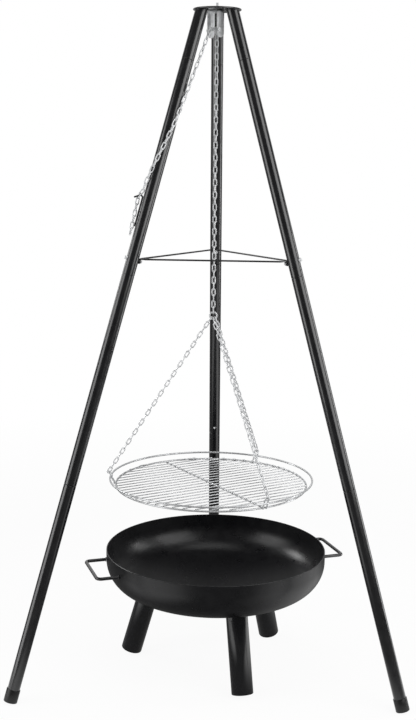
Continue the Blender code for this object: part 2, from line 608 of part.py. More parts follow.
def build_chain_to_leg(zinc, black):
    """The hook on the left leg, the chain from the pin to it, and the chain's free tail."""
    frame = leg_frame(LEG_AZIMUTHS["left"])
    shank_out = TUBE_RADIUS + HOOK_ROD_DIA / 2 + CLEARANCE
    corner = on_leg(frame, HOOK_TURN, shank_out, HOOK_ALONG)
    outward = (on_leg(frame, HOOK_TURN, 1.0, 0.0) - on_leg(frame, HOOK_TURN, 0.0, 0.0)).normalized()
    up_leg = frame.to_3x3() @ UP
    arm = outward * math.cos(HOOK_ARM_DROOP) - up_leg * math.sin(HOOK_ARM_DROOP)
    hook_path = rounded([corner - up_leg * HOOK_SHANK, corner, corner + arm * HOOK_ARM], HOOK_BEND, 5)
    rod("leg_hook", hook_path, HOOK_ROD_DIA / 2, black, 2)

    wrap_out = TUBE_RADIUS + LINK_WIDTH / 2 + CLEARANCE
    pin_side = frame.inverted() @ SADDLE_OUTER_END
    reach = math.hypot(pin_side.x, pin_side.y)
    wrap_start = math.atan2(pin_side.y, pin_side.x) - math.acos(wrap_out / reach)
    steps = 10
    wrap = []
    for step in range(steps + 1):
        share = step / steps
        turn = wrap_start + (WRAP_END - wrap_start) * share
        along = WRAP_START_ALONG + (WRAP_END_ALONG - WRAP_START_ALONG) * share
        along -= WRAP_SAG * 4 * share * (1 - share)
        wrap.append(on_leg(frame, turn, wrap_out, along))
    hooked = corner + arm * HOOK_LINK_OUT
    path = [SADDLE_OUTER_END] + wrap + [hooked]
    arriving = (hooked - wrap[-1]).normalized()
    hooked_centre = hooked + arriving * HOOK_LINK_PAST
    first = LINK_INNER_HALF - WIRE_DIA / 4
    last = path_length(path) + HOOK_LINK_PAST
    count = round((last - first) / LINK_PITCH) + 1
    stations = run_of_links(path, first, last, count, PIN_AXIS, arm)
    low_side = arm.cross(arriving).normalized()
    out_way = low_side * math.cos(LINK_CORNER) + arriving * math.sin(LINK_CORNER)
    along_wire = arriving * math.cos(LINK_CORNER) - low_side * math.sin(LINK_CORNER)
    lowest = hooked_centre + arriving * (LINK_INNER_HALF - LINK_INNER_RADIUS) + out_way * LINK_INNER_RADIUS
    tail_aim = on_leg(frame, TAIL_TURN, TAIL_AIM_OUT, HOOK_ALONG - TAIL_AIM_DROP)
    tail_way = (tail_aim - lowest).normalized()
    tail_path = [lowest, lowest + tail_way * LINK_PITCH * (TAIL_LINKS + 1)]
    first = LINK_INNER_HALF + LINK_BITE
    last = first + LINK_PITCH * (TAIL_LINKS - 1)
    hung = run_of_links(tail_path, first, last, TAIL_LINKS, along_wire, tail_way.cross(along_wire))
    saddle = (SADDLE_CENTRE, CHAIN_SIDE, UP)
    chain("chain_to_leg", [saddle] + stations + hung[:1], zinc)
    tail = chain("chain_tail", with_play(hung[1:]), zinc)
    hinge = hung[0][0] + tail_way * (LINK_INNER_HALF + WIRE_DEPTH / 2)
    return tail, hinge


def build_hanging_chain(zinc):
    """The chain from the pin down to the joining ring, split where it moves."""
    swing_link = chain("chain_swing_link", [(SWING_LINK_CENTRE, DOWN, PIN_AXIS)], zinc)
    first = SWING_LINK_CENTRE + DOWN * LINK_PITCH
    path = [first, first + DOWN * LINK_PITCH * HANGING_LINKS]
    count = HANGING_LINKS - 1
    quarter = Matrix.Rotation(math.pi / 2, 3, DOWN)
    sideways = Vector((1.0, 0.0, 0.0))
    stations = run_of_links(path, 0.0, LINK_PITCH * (count - 1), count, quarter @ PIN_AXIS, sideways)
    upper = chain("hanging_chain_upper", with_play(stations[:HANGING_UPPER_LINKS]), zinc)
    lower = chain("hanging_chain_lower", with_play(stations[HANGING_UPPER_LINKS:]), zinc)
    return swing_link, upper, lower


def build_grate(chrome, zinc):
    """The joining ring, the three chains and the round grate with its raised rim."""
    pieces = []
    facing = axes(RING_CENTRE, Vector((1.0, 0.0, 0.0)), Vector((0.0, -1.0, 0.0)))
    pieces.append(torus("joining_ring", RING_RADIUS, RING_WIRE_RADIUS, 14, HOOP_SIDES, zinc, facing))
    for side, azimuth_deg in GRATE_AZIMUTHS.items():
        azimuth = math.radians(azimuth_deg)
        slot = math.radians(RING_SLOTS[side])
        top = RING_CENTRE + Vector((math.cos(slot), 0.0, math.sin(slot))) * RING_RADIUS
        bottom = polar(HANGER_TOP_RADIUS, azimuth, HANGER_TOP_Z)
        ring_way = Vector((-math.sin(slot), 0.0, math.cos(slot)))
        hanger_way = polar(1.0, azimuth + math.pi / 2)
        path = [top, bottom]
        last = path_length(path) - HANGER_REACH
        stations = run_of_links(path, RING_REACH, last, SUSPENSION_LINKS, ring_way, hanger_way)
        pieces.append(chain("grate_chain_" + side, stations, zinc))
        pieces.append(build_hanger("grate_hanger_" + side, azimuth, chrome))
    level = Matrix.Translation((0.0, 0.0, GRID_Z))
    grid = torus("grate_grid", GRID_RADIUS, GRID_RING_DIA / 2, HOOP_SEGMENTS, HOOP_SIDES, chrome, level)
    across = polar(1.0, SUPPORT_AZIMUTH)
    lengthways = polar(1.0, SUPPORT_AZIMUTH + math.pi / 2)
    beam = axes(-across * GRID_RADIUS + UP * GRID_Z, UP, across)
    combine(grid, cylinder("beam", SUPPORT_BAR_DIA / 2, 2 * GRID_RADIUS, 6, chrome, beam), "UNION")
    bar_z = GRID_Z + (GRID_RING_DIA + BAR_DIA) / 2 - BAR_SINK
    bm = bmesh.new()
    for index in range(BAR_COUNT):
        offset = (index - (BAR_COUNT - 1) / 2) * BAR_PITCH
        half = math.sqrt(GRID_RADIUS ** 2 - offset ** 2)
        start = across * offset - lengthways * half + UP * bar_z
        place = axes(start + lengthways * half, DOWN, lengthways)
        bmesh.ops.create_cone(bm, cap_ends=True, segments=4, radius1=BAR_DIA / 2, radius2=BAR_DIA / 2,
                              depth=2 * half, matrix=place)
    bars = add_object("bars", finish_mesh(bm, "bars"), chrome)
    pieces.append(combine(grid, bars, "UNION"))
    pieces.append(torus("grate_rim", RIM_RADIUS, RIM_DIA / 2, HOOP_SEGMENTS, HOOP_SIDES, chrome,
                        Matrix.Translation((0.0, 0.0, RIM_Z))))
    return pieces


def build_hanger(name, azimuth, chrome):
    """A wire loop from the grid ring's outer side, inside the rim and over it, for the chain's last link."""
    wire = HANGER_WIRE_DIA / 2
    ring_side = GRID_RADIUS + GRID_RING_DIA / 2 + wire + CLEARANCE
    rim_side = RIM_RADIUS * math.cos(math.pi / HOOP_SEGMENTS) - RIM_DIA / 2 - wire - CLEARANCE
    shoulder = RIM_Z + RIM_DIA
    leg = [(ring_side, GRID_Z - wire), (ring_side, GRID_Z + GRID_RING_DIA / 2), (rim_side, RIM_Z - wire),
           (rim_side, shoulder)]
    outward = polar(1.0, azimuth)
    sideways = polar(1.0, azimuth + math.pi / 2)
    crown_way = (outward * HANGER_LEAN + UP * (HANGER_TOP_Z - shoulder)).normalized()
    crown_top = outward * HANGER_TOP_RADIUS + UP * HANGER_TOP_Z
    path = [outward * radius - sideways * HANGER_HALF_WIDTH + UP * z for radius, z in leg]
    bend_centre = crown_top - crown_way * HANGER_HALF_WIDTH
    steps = 6
    for step in range(steps + 1):
        angle = math.pi * step / steps
        path.append(bend_centre - sideways * HANGER_HALF_WIDTH * math.cos(angle)
                    + crown_way * HANGER_HALF_WIDTH * math.sin(angle))
    path += [outward * radius + sideways * HANGER_HALF_WIDTH + UP * z for radius, z in reversed(leg)]
    return rod(name, path, wire, chrome, 1)


def bowl_profile(grow):
    """The bowl's outside, grown outward: straight flange, knuckle and crown, from rim to middle."""
    knuckle_middle = BOWL_RADIUS - BOWL_KNUCKLE
    knuckle_z = BOWL_RIM_Z - BOWL_FLANGE
    crown_z = knuckle_z + math.sqrt((BOWL_CROWN - BOWL_KNUCKLE) ** 2 - knuckle_middle ** 2)
    meeting = math.atan2(knuckle_z - crown_z, knuckle_middle)
    points = [(BOWL_RADIUS + grow, BOWL_RIM_Z)]
    knuckle_steps = 4
    for step in range(knuckle_steps + 1):
        angle = meeting * step / knuckle_steps
        radius = BOWL_KNUCKLE + grow
        points.append((knuckle_middle + radius * math.cos(angle), knuckle_z + radius * math.sin(angle)))
    crown_steps = 3
    for step in range(1, crown_steps + 1):
        angle = meeting + (-math.pi / 2 - meeting) * step / crown_steps
        radius = BOWL_CROWN + grow
        points.append((max(radius * math.cos(angle), 0.0), crown_z + radius * math.sin(angle)))
    points[-1] = (0.0, points[-1][1])
    return points


def build_bowl(black):
    """The dished fire bowl, its two handles and its three splayed tube legs, cut square at the foot."""
    place = Matrix.Translation(BOWL_CENTRE)
    outside = bowl_profile(0.0)
    inside = bowl_profile(-BOWL_WALL)
    lathe("fire_bowl", outside[::-1] + inside, BOWL_SIDES, black, place, closed=False)

    handle_z = BOWL_RIM_Z - HANDLE_BELOW_RIM
    for side, azimuth_deg in HANDLE_AZIMUTHS.items():
        outward = polar(1.0, math.radians(azimuth_deg))
        sideways = polar(1.0, math.radians(azimuth_deg) + math.pi / 2)
        wall = math.sqrt(BOWL_RADIUS ** 2 - HANDLE_HALF_WIDTH ** 2)
        reach = wall + HANDLE_REACH
        level = BOWL_CENTRE + UP * handle_z
        corners = [level + outward * wall - sideways * HANDLE_HALF_WIDTH,
                   level + outward * reach - sideways * HANDLE_HALF_WIDTH,
                   level + outward * reach + sideways * HANDLE_HALF_WIDTH,
                   level + outward * wall + sideways * HANDLE_HALF_WIDTH]
        corners[0] -= outward * HANDLE_ROD_DIA
        corners[3] -= outward * HANDLE_ROD_DIA
        handle = rod("bowl_handle_" + side, rounded(corners, HANDLE_BEND), HANDLE_ROD_DIA / 2, black, 2)
        solid = lathe("bowl_solid", [(0.0, BOWL_RIM_Z)] + bowl_profile(CLEARANCE), BOWL_SIDES, black, place,
                      closed=False)
        combine(handle, solid, "DIFFERENCE")

    for side, azimuth_deg in BOWL_LEG_AZIMUTHS.items():
        outward = polar(1.0, math.radians(azimuth_deg))
        along = UP * math.cos(BOWL_LEG_SPLAY) - outward * math.sin(BOWL_LEG_SPLAY)
        radius = BOWL_LEG_DIA / 2
        bore = radius - BOWL_LEG_WALL
        lift = radius * math.cos(math.pi / BOWL_LEG_SIDES) * math.sin(BOWL_LEG_SPLAY)
        foot = BOWL_CENTRE + outward * BOWL_LEG_FOOT_RADIUS + UP * lift
        frame = axes(foot, outward, along)
        top = BOWL_RIM_Z
        leg = lathe("bowl_leg_" + side, [(radius, 0.0), (radius, top), (bore, top), (bore, 0.0)],
                    BOWL_LEG_SIDES, black, frame)
        solid = lathe("bowl_solid", [(0.0, 2 * top), (BOWL_RADIUS, 2 * top)] + bowl_profile(CLEARANCE)[1:],
                      BOWL_SIDES, black, place, closed=False)
        combine(leg, solid, "DIFFERENCE")


def pivot(name, place, children):
    """An empty on a joint's axis that carries the pieces which move about it."""
    empty = bpy.data.objects.new(name, None)
    bpy.context.collection.objects.link(empty)
    empty.location = place
    bpy.context.view_layer.update()
    for child in children:
        world = child.matrix_world.copy()
        child.parent = empty
        child.matrix_parent_inverse = empty.matrix_world.inverted()
        child.matrix_world = world
    return empty


def shade():
    """Shade the round faces smooth and keep the edges between faces sharp."""
    for item in bpy.data.collections[COLLECTION].objects:
        if item.type == "MESH":
            item.data.shade_smooth()
            item.data.set_sharp_from_angle(angle=CREASE_ANGLE)


def main():
    clear_scene()
    make_collections()
    black = make_material("black_paint", (0.012, 0.012, 0.013), 0.38, 0.0)
    rubber = make_material("black_cap", (0.010, 0.010, 0.010), 0.6, 0.0)
    zinc = make_material("bright_zinc", (0.62, 0.63, 0.64), 0.3, 1.0)
    chrome = make_material("chrome_wire", (0.66, 0.67, 0.68), 0.16, 1.0)

    build_head(black, zinc)
    for side, azimuth_deg in LEG_AZIMUTHS.items():
        build_leg(side, azimuth_deg, black, zinc, rubber)
    build_spacers(black, zinc)
    tail, tail_hinge = build_chain_to_leg(zinc, black)
    swing_link, upper_chain, lower_chain = build_hanging_chain(zinc)
    grate = build_grate(chrome, zinc)
    build_bowl(black)

    second_pivot = SWING_LINK_CENTRE + DOWN * LINK_PITCH / 2
    pivot("tail_pivot", tail_hinge, [tail])
    first = pivot("side_swing_pivot", SADDLE_INNER_END, [swing_link])
    second = pivot("front_swing_pivot", second_pivot, [upper_chain])
    lift = pivot("lift", LAST_LINK_CENTRE, [lower_chain])
    swivel = pivot("grate_swivel", RING_CENTRE, grate)
    for lower, higher in ((second, first), (lift, second), (swivel, lift)):
        lower.parent = higher
        lower.matrix_parent_inverse = higher.matrix_world.inverted()
    loose = [item for item in bpy.data.objects if item.parent is None]
    whole = pivot("campfire_tripod", Vector((0.0, 0.0, 0.0)), loose)
    whole.location.y = TRIPOD_AXIS_Y
    shade()


main()
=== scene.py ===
"""Looks of the campfire tripod: round tubes, single chain links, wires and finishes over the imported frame.

Metres, +Z up. Everything is drawn about the tripod's own axis and then moved to its place in the frame.
"""
import json
import math

import bmesh
import bpy
from mathutils import Matrix, Vector

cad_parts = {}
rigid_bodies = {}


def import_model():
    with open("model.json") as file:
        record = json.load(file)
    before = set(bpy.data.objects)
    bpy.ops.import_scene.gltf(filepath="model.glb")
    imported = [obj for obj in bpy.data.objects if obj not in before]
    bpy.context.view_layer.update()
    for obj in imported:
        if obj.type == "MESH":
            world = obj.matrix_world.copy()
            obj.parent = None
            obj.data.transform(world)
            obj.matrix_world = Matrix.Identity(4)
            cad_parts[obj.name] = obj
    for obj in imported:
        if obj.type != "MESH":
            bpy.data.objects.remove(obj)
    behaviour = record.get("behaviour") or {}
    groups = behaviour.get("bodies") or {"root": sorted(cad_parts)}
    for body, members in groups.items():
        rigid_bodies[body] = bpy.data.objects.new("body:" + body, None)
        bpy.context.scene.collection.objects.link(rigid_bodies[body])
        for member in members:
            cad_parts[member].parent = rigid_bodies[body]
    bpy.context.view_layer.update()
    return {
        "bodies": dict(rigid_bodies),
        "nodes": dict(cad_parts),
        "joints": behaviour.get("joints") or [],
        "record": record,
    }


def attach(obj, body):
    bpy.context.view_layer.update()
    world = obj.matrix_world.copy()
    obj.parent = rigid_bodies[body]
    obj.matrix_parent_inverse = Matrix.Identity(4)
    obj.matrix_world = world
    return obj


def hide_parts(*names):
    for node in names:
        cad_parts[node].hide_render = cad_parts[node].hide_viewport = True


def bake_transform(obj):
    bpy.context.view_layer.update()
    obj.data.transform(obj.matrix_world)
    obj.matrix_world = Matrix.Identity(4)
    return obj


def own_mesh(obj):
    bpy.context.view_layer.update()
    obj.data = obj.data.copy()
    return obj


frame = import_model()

# Frame and camera
TRIPOD_AXIS_Y = -0.1448
IMAGE_HEIGHT = 720
FOCAL_PIXELS = 1178.74
CAMERA_PLACE = Vector((0.0636, -3.1124, 1.4022))  # from the tripod's axis
CAMERA_PITCH = math.radians(-10.0)
CAMERA_YAW = math.radians(1.401)
CAMERA_ROLL = math.radians(0.717)
SENSOR_HEIGHT = 36.0

# Floor and the studio round the object
WHITE = (1.0, 1.0, 1.0, 1.0)
FLOOR_SIZE = 30.0
FLOOR_COLOUR = (0.86, 0.86, 0.86, 1.0)
FLOOR_ROUGHNESS = 0.9
FLOOR_WHITE = 0.93  # share of plain white in what the camera sees of the floor near the object
FLOOR_FADE = (1.2, 3.0)  # from here to here it goes over to all white
FLOOR_PAINTED_MIRROR = (0.12, 1.0)  # its mirror image in shiny surfaces: painted shade away from the painted pools of light, white in them
FLOOR_PAINTED_POOLS = (((-0.85, -0.75, 0.0), 0.75), ((1.05, -0.3, 0.0), 0.95))  # each painted pool of light's middle and reach, at given spots on the floor
FLOOR_PAINTED_POOL_EDGE = 0.55  # the share of the reach over which a painted pool of light fades
FRONT_LEVEL = 0.05  # the mirrored studio in front of the object
BEHIND_LEVEL = 0.6  # and behind it
BEHIND_EDGE = (0.42, 0.85)  # how far round to the back it goes over from dark to light
TOP_LEVEL = 0.3  # the share of that which is left straight above
TOP_EDGE = (0.5, 0.95)  # how far up it goes over to this
WORLD_LIGHT = 0.5  # what it gives to surfaces without gloss, from all round

# Lamps: name, place, what it points at, width, height, radiance and spread in degrees
SOFT_BOXES = (("left_box", (-2.3, -1.0, 1.3), (0.0, -0.9, 1.2), 1.7, 2.6, 2.3, 180.0),
              ("left_rim", (-2.0, 1.0, 1.5), (0.26, 0.15, 0.25), 0.9, 0.6, 0.65, 50.0),
              ("right_box", (1.9, -1.35, 2.05), (0.0, 0.0, 1.6), 1.9, 2.4, 2.5, 180.0),
              ("right_rim", (2.25, 0.5, 0.9), (0.0, 0.0, 0.6), 0.5, 1.8, 4.0, 180.0),
              ("top_box", (0.2, -0.4, 3.4), (0.0, -0.4, 0.0), 1.6, 1.6, 1.5, 180.0))

# What all finishes share
DRIFT_SCALE = 38.0  # of the slow change in colour and roughness, per metre
DRIFT_DETAIL = 5.0
DRIFT_ROUGHNESS = 0.6
DRIFT_RANGE = (0.3, 0.7)  # the part of the noise that is spread over the whole change
GRAIN_DETAIL = 3.0
GRAIN_DEPTH = 0.0004
COAT_ROUGHNESS = 0.12

# Tripod legs
LEG_AZIMUTHS = {"back": 90.0, "left": 210.0, "right": 330.0}
LEG_LEAN = math.radians(17.0)
TUBE_RADIUS = 0.016
TUBE_WALL = 0.0015
SEAM_GAP = 0.0003
EDGE_ROUND = 0.0007
STUB_LENGTH = 0.132
UPPER_TUBE_LENGTH = 0.5645
MIDDLE_TUBE_LENGTH = 0.5575
LOWER_TUBE_LENGTH = 0.5846
SPIGOT_ROOT = 0.004  # how far a spigot starts below the top of its tube
SPIGOT_LENGTH = 0.030
FOOT_CAP_RADIUS = 0.0178
FOOT_CAP_LENGTH = 0.034
FOOT_CAP_FLOOR = 0.010
FOOT_CAP_EDGE = 0.0012
FOOT_CAP_LIP_WIDTH = 0.0006
FOOT_CAP_LIP_HEIGHT = 0.001
FOOT_END = 0.003607  # the cap's square end, along the leg from the floor
EDGE_MIDDLE = 0.3  # where a rounded edge's middle lies, as a share of the edge
BUTTON_RADIUS = 0.003
BUTTON_ABOVE_SEAM = 0.021
BUTTON_PROUD = 0.0018

# Weld beads
BEAD_RADIUS = 0.0014
BEAD_OUT = 0.0004
STUB_BEAD_DROP = 0.0010
STUB_RIPPLE = 0.14  # as a share of the bead's radius
STUB_RIPPLES = 18
HANDLE_RIPPLE = 0.15
HANDLE_RIPPLES = 9

# Head and bracket
HEAD_RADIUS = 0.062
HEAD_THICKNESS = 0.004
HEAD_EDGE = 0.0011
HEAD_LEG_RADIUS = 0.045
STRAP_WIDTH = 0.022
STRAP_THICKNESS = 0.0025
STRAP_END_FLAT = 0.0005  # half of what stays flat at a strap's rounded end
BRACKET_WIDTH = 0.042
BRACKET_DROP = 0.0675
BRACKET_BEND = 0.005
BOLT_RADIUS = 0.003
BOLT_HEAD_FLATS = 0.010
BOLT_HEAD_HEIGHT = 0.004
BOLT_TIP_SHARE = 0.8  # of the bolt's radius
BOLT_TIP_LENGTH = 0.0006
HEXAGON_EDGE = 0.0005
NUT_HEIGHT = 0.005
THREAD_PITCH = 0.001
THREAD_ROOT_SHARE = 0.86  # of the bolt's radius
HEAD_BOLT_PROUD = 0.015
HEAD_BOLT_PLAIN = 0.006  # the part of the shank without thread
PIN_DROP = 0.0495
PIN_PROUD = 0.002
PIN_THREAD_INSIDE = 0.004  # how far the pin's thread reaches in from the nut's seat
CHAIN_SIDE_AZIMUTH = math.radians(219.0)

# Chain
WIRE_RADIUS = 0.0015
LINK_PITCH = 0.016
LINK_HALF_WIDTH = 0.004
LINK_STRAIGHT = 0.0055  # half of a link's straight side
LINK_INNER_HALF = 0.00785
LINK_HALF_THICKNESS = 0.001645
LINK_OUTER_HALF = 0.0107
LINK_INNER_RADIUS = 0.0035  # of the round end's inside
LINK_WELD_HALF = 0.0015
LINK_WELD_SWELL = 1.13
LINK_CORNER = math.radians(30.0)  # how far past the link's side the tail's first link hangs
LINK_BITE = 0.0003
LINK_PLAY = math.radians(4.0)
LOOSE_GAP = 0.0008
HANGING_LINKS = 46
HANGING_UPPER_LINKS = 24
SUSPENSION_LINKS = 32
TAIL_LINKS = 6

# Joining ring and grate
RING_RADIUS = 0.0095
RING_WIRE_RADIUS = 0.002
RING_SLOTS = {"left": -132.0, "front": -86.0, "back": -48.0}
RING_SLOT_DROP = 0.9  # how far below its middle the chains hang, as a share of its radius
GRATE_AZIMUTHS = {"front": -57.5, "back": 62.5, "left": 182.5}
SUPPORT_AZIMUTH = math.radians(-57.5)
GRID_RADIUS = 0.2590
GRID_RING_RADIUS = 0.0025
BAR_RADIUS = 0.0015
BAR_PITCH = 0.022
BAR_COUNT = 23
BAR_SINK = 0.0006
BAR_TIP_LENGTH = 0.0008
BAR_TIP_SHARE = 0.6  # of the bar's radius
SPOT_RADIUS = 0.0021  # of a spot weld
SPOT_HEIGHT = 0.0009
SPOT_SINK = 0.0003
SPOT_INSET = 0.9975  # its place along a bar, as a share of the bar's half
RIM_RADIUS = 0.275
RIM_WIRE_RADIUS = 0.0025
RIM_RISE = 0.0157
HANGER_RISE = 0.0155
HANGER_WIRE_RADIUS = 0.002
HANGER_HALF_WIDTH = 0.0055
HANGER_LEAN = 0.009

# Spacer rods
SPACER_ABOVE_SEAM = 0.041
SPACER_ROD_RADIUS = 0.00225
SPACER_BOLT_THREAD = 0.012
EYE_RADIUS = 0.007
EYE_THICKNESS = 0.0025
EYE_EDGE = 0.0004
EYE_NECK_RADIUS = 0.0011
EYE_NECK_LENGTH = 0.012
EYE_NECK_SINK = 0.001  # how far the neck reaches into the eye

# Hook and the chain's way to it
HOOK_TURN = math.radians(-45.0)
HOOK_ROD_RADIUS = 0.0022
HOOK_ALONG = 1.3501
HOOK_SHANK = 0.085
HOOK_ARM = 0.026
HOOK_ARM_DROOP = math.radians(30.0)
HOOK_BEND = 0.006
HOOK_TIP_LENGTH = 0.001
HOOK_TIP_SHARE = 0.55  # of the rod's radius
HOOK_LINK_OUT = 0.0115
HOOK_LINK_PAST = 0.0014
WRAP_END = math.radians(-14.0)
WRAP_START_ALONG = 1.6066
WRAP_END_ALONG = 1.3576
WRAP_SAG = 0.020
TAIL_TURN = math.radians(-22.0)
TAIL_AIM_OUT = 0.0235
TAIL_AIM_DROP = 0.1024

# Fire bowl
BOWL_CENTRE = Vector((0.0150, 0.001, 0.0))
BOWL_RADIUS = 0.3005
BOWL_WALL = 0.0025
BOWL_LIP = 0.0008
BOWL_RIM_Z = 0.3288
BOWL_FLANGE = 0.027
BOWL_KNUCKLE = 0.084
BOWL_CROWN = 0.634
BOWL_LEG_AZIMUTHS = {"front": -70.8, "back": 49.2, "left": 169.2}
BOWL_LEG_RADIUS = 0.02875
BOWL_LEG_WALL = 0.002
BOWL_LEG_EDGE = 0.0018
BOWL_LEG_FOOT_RADIUS = 0.2405
BOWL_LEG_SPLAY = math.radians(16.0)
BOWL_CUTTER_RISE = 0.2  # how far the shape that cuts the legs goes above the rim
HANDLE_AZIMUTHS = {"right": 19.5, "left": 199.5}
HANDLE_ROD_RADIUS = 0.0045
HANDLE_HALF_WIDTH = 0.0725
HANDLE_REACH = 0.058
HANDLE_ROOT_OUT = 0.0012
HANDLE_BELOW_RIM = 0.031
HANDLE_BEND = 0.012

# Derived from the above
ORIGIN = Matrix.Identity(4)
UP = Vector((0.0, 0.0, 1.0))
DOWN = Vector((0.0, 0.0, -1.0))
RIGHT = Vector((1.0, 0.0, 0.0))
FORWARD = Vector((0.0, -1.0, 0.0))
AXIS_PLACE = Vector((0.0, TRIPOD_AXIS_Y, 0.0))
LEG_LENGTH = LOWER_TUBE_LENGTH + MIDDLE_TUBE_LENGTH + UPPER_TUBE_LENGTH + STUB_LENGTH
LOWER_SEAM = LOWER_TUBE_LENGTH
MIDDLE_SEAM = LOWER_SEAM + MIDDLE_TUBE_LENGTH
UPPER_SEAM = MIDDLE_SEAM + UPPER_TUBE_LENGTH
TUBE_BORE = TUBE_RADIUS - TUBE_WALL
BOLT_BORE = BOLT_RADIUS + SEAM_GAP
PLATE_BOTTOM = LEG_LENGTH * math.cos(LEG_LEAN)
PLATE_TOP = PLATE_BOTTOM + HEAD_THICKNESS
LEG_FOOT_RADIUS = HEAD_LEG_RADIUS + LEG_LENGTH * math.sin(LEG_LEAN)
SPACER_ALONG = MIDDLE_SEAM + SPACER_ABOVE_SEAM
CHAIN_SIDE = Vector((math.cos(CHAIN_SIDE_AZIMUTH), math.sin(CHAIN_SIDE_AZIMUTH), 0.0))
PIN_AXIS = Vector((-CHAIN_SIDE.y, CHAIN_SIDE.x, 0.0))
SADDLE_REACH = LINK_OUTER_HALF - (LINK_OUTER_HALF - LINK_INNER_HALF) / 4
PIN_CENTRE = CHAIN_SIDE * SADDLE_REACH + UP * (PLATE_BOTTOM - PIN_DROP)
SADDLE_CENTRE = PIN_CENTRE + UP * (BOLT_RADIUS + LINK_HALF_THICKNESS + SEAM_GAP)
SADDLE_INNER_END = SADDLE_CENTRE - CHAIN_SIDE * SADDLE_REACH
SADDLE_OUTER_END = SADDLE_CENTRE + CHAIN_SIDE * SADDLE_REACH
SWING_LINK_CENTRE = SADDLE_INNER_END + DOWN * (LINK_INNER_HALF - LINK_HALF_THICKNESS - LOOSE_GAP)
LAST_LINK_CENTRE = SWING_LINK_CENTRE + DOWN * LINK_PITCH * (HANGING_LINKS - 1)
RING_REACH = LINK_INNER_HALF - RING_WIRE_RADIUS - LOOSE_GAP
RING_CENTRE = LAST_LINK_CENTRE + DOWN * (RING_REACH + RING_RADIUS)
HANGER_REACH = LINK_INNER_HALF - HANGER_WIRE_RADIUS - LOOSE_GAP
HANGER_RIM_SIDE = RIM_RADIUS - RIM_WIRE_RADIUS - HANGER_WIRE_RADIUS - SEAM_GAP
HANGER_TOP_RADIUS = HANGER_RIM_SIDE + HANGER_LEAN
SUSPENSION_LENGTH = LINK_PITCH * (SUSPENSION_LINKS - 1) + RING_REACH + HANGER_REACH
SUSPENSION_TOP_Z = RING_CENTRE.z - RING_RADIUS * RING_SLOT_DROP
HANGER_TOP_Z = SUSPENSION_TOP_Z - math.sqrt(SUSPENSION_LENGTH ** 2 - HANGER_TOP_RADIUS ** 2)
RIM_Z = HANGER_TOP_Z - HANGER_RISE
GRID_Z = RIM_Z - RIM_RISE

# Fineness of round shapes: sides round an axis, steps along an arc, and a rod's own smoothness
TUBE_SIDES = 40
BUTTON_SIDES = 20
GROUND_SIDES = 16
BOLT_SIDES = 24
EYE_SIDES = 32
HEAD_SIDES = 96
BOWL_SIDES = 128
BOWL_LEG_SIDES = 56
HOOP_SEGMENTS = 180
RING_SEGMENTS = 64
HOOP_SIDES = 14
SPOT_SIDES = 10
SPOT_RINGS = 6
DOME_STEPS = 6
HEXAGON_EDGE_STEPS = 2
STRAP_END_STEPS = 12
STRAP_BEND_STEPS = 8
LINK_END_STEPS = 8
HOOK_BEND_STEPS = 10
WRAP_STEPS = 10
HANGER_STEPS = 14
HANDLE_BEND_STEPS = 12
KNUCKLE_STEPS = 18
CROWN_STEPS = 12
STUB_BEAD_STEPS = 72
HANDLE_BEAD_STEPS = 40
ROD_SMOOTHNESS = 5
BAR_SMOOTHNESS = 4
FINE_WIRE_SMOOTHNESS = 3  # of chain links and weld beads

# Edges and closeness
CREASE = 35.0  # edges sharper than this, in degrees, aren't shaded as round
BOWL_CREASE = 30.0
WIRE_CREASE = 60.0
ROUND_BEVEL = 0.5
SAME_VERTEX = 1e-7
SAME_HEIGHT = 1e-6
SAME_END = 1e-5
MOSTLY_ALONG = 0.9


def polar(radius, azimuth, z=0.0):
    """A point at a radius and azimuth, in radians."""
    return Vector((radius * math.cos(azimuth), radius * math.sin(azimuth), z))


def raised(z):
    """A frame straight above the origin."""
    return Matrix.Translation((0.0, 0.0, z))


def axes(origin, x_axis, z_axis):
    """A frame at origin, from its Z axis and roughly its X axis."""
    z_axis = z_axis.normalized()
    y_axis = z_axis.cross(x_axis).normalized()
    x_axis = y_axis.cross(z_axis)
    matrix = Matrix((x_axis, y_axis, z_axis)).transposed().to_4x4()
    matrix.translation = origin
    return matrix


def leg_frame(azimuth_deg):
    """A leg's frame: Z up along the leg from the floor, X to its outer side."""
    outward = polar(1.0, math.radians(azimuth_deg))
    along = UP * math.cos(LEG_LEAN) - outward * math.sin(LEG_LEAN)
    return axes(outward * LEG_FOOT_RADIUS, outward, along)


def across_leg(frame, along, turn, start):
    """A frame across a leg: Z points out of the leg at a turn about it, from a distance to its axis."""
    outward = (frame.to_3x3() @ polar(1.0, turn)).normalized()
    origin = frame @ (UP * along) + outward * start
    return axes(origin, frame.to_3x3() @ UP, outward)


def on_leg(frame, turn, out, along):
    """A point beside a leg, at a turn about its axis and a distance from it."""
    return frame @ polar(out, turn, along)


def new_shape(bm, frame=ORIGIN):
    """A mesh from a finished bmesh, put in a frame, with its faces outward."""
    bmesh.ops.remove_doubles(bm, verts=bm.verts, dist=SAME_VERTEX)
    bmesh.ops.transform(bm, matrix=frame, verts=bm.verts)
    bmesh.ops.recalc_face_normals(bm, faces=bm.faces)
    return plain_mesh(bm)


def plain_mesh(bm):
    """A mesh from a bmesh as it is."""
    mesh = bpy.data.meshes.new("shape")
    bm.to_mesh(mesh)
    bm.free()
    return mesh


def lathe(profile, sides=TUBE_SIDES, frame=ORIGIN, closed=True):
    """Turn a profile of (radius, z) points about the frame's Z axis."""
    bm = bmesh.new()
    points = [bm.verts.new((radius, 0.0, z)) for radius, z in profile]
    edges = [bm.edges.new(pair) for pair in zip(points, points[1:])]
    if closed:
        edges.append(bm.edges.new((points[-1], points[0])))
    bmesh.ops.spin(bm, geom=points + edges, cent=(0, 0, 0), axis=(0, 0, 1), angle=math.tau,
                   steps=sides, use_merge=True, use_duplicate=False)
    return new_shape(bm, frame)


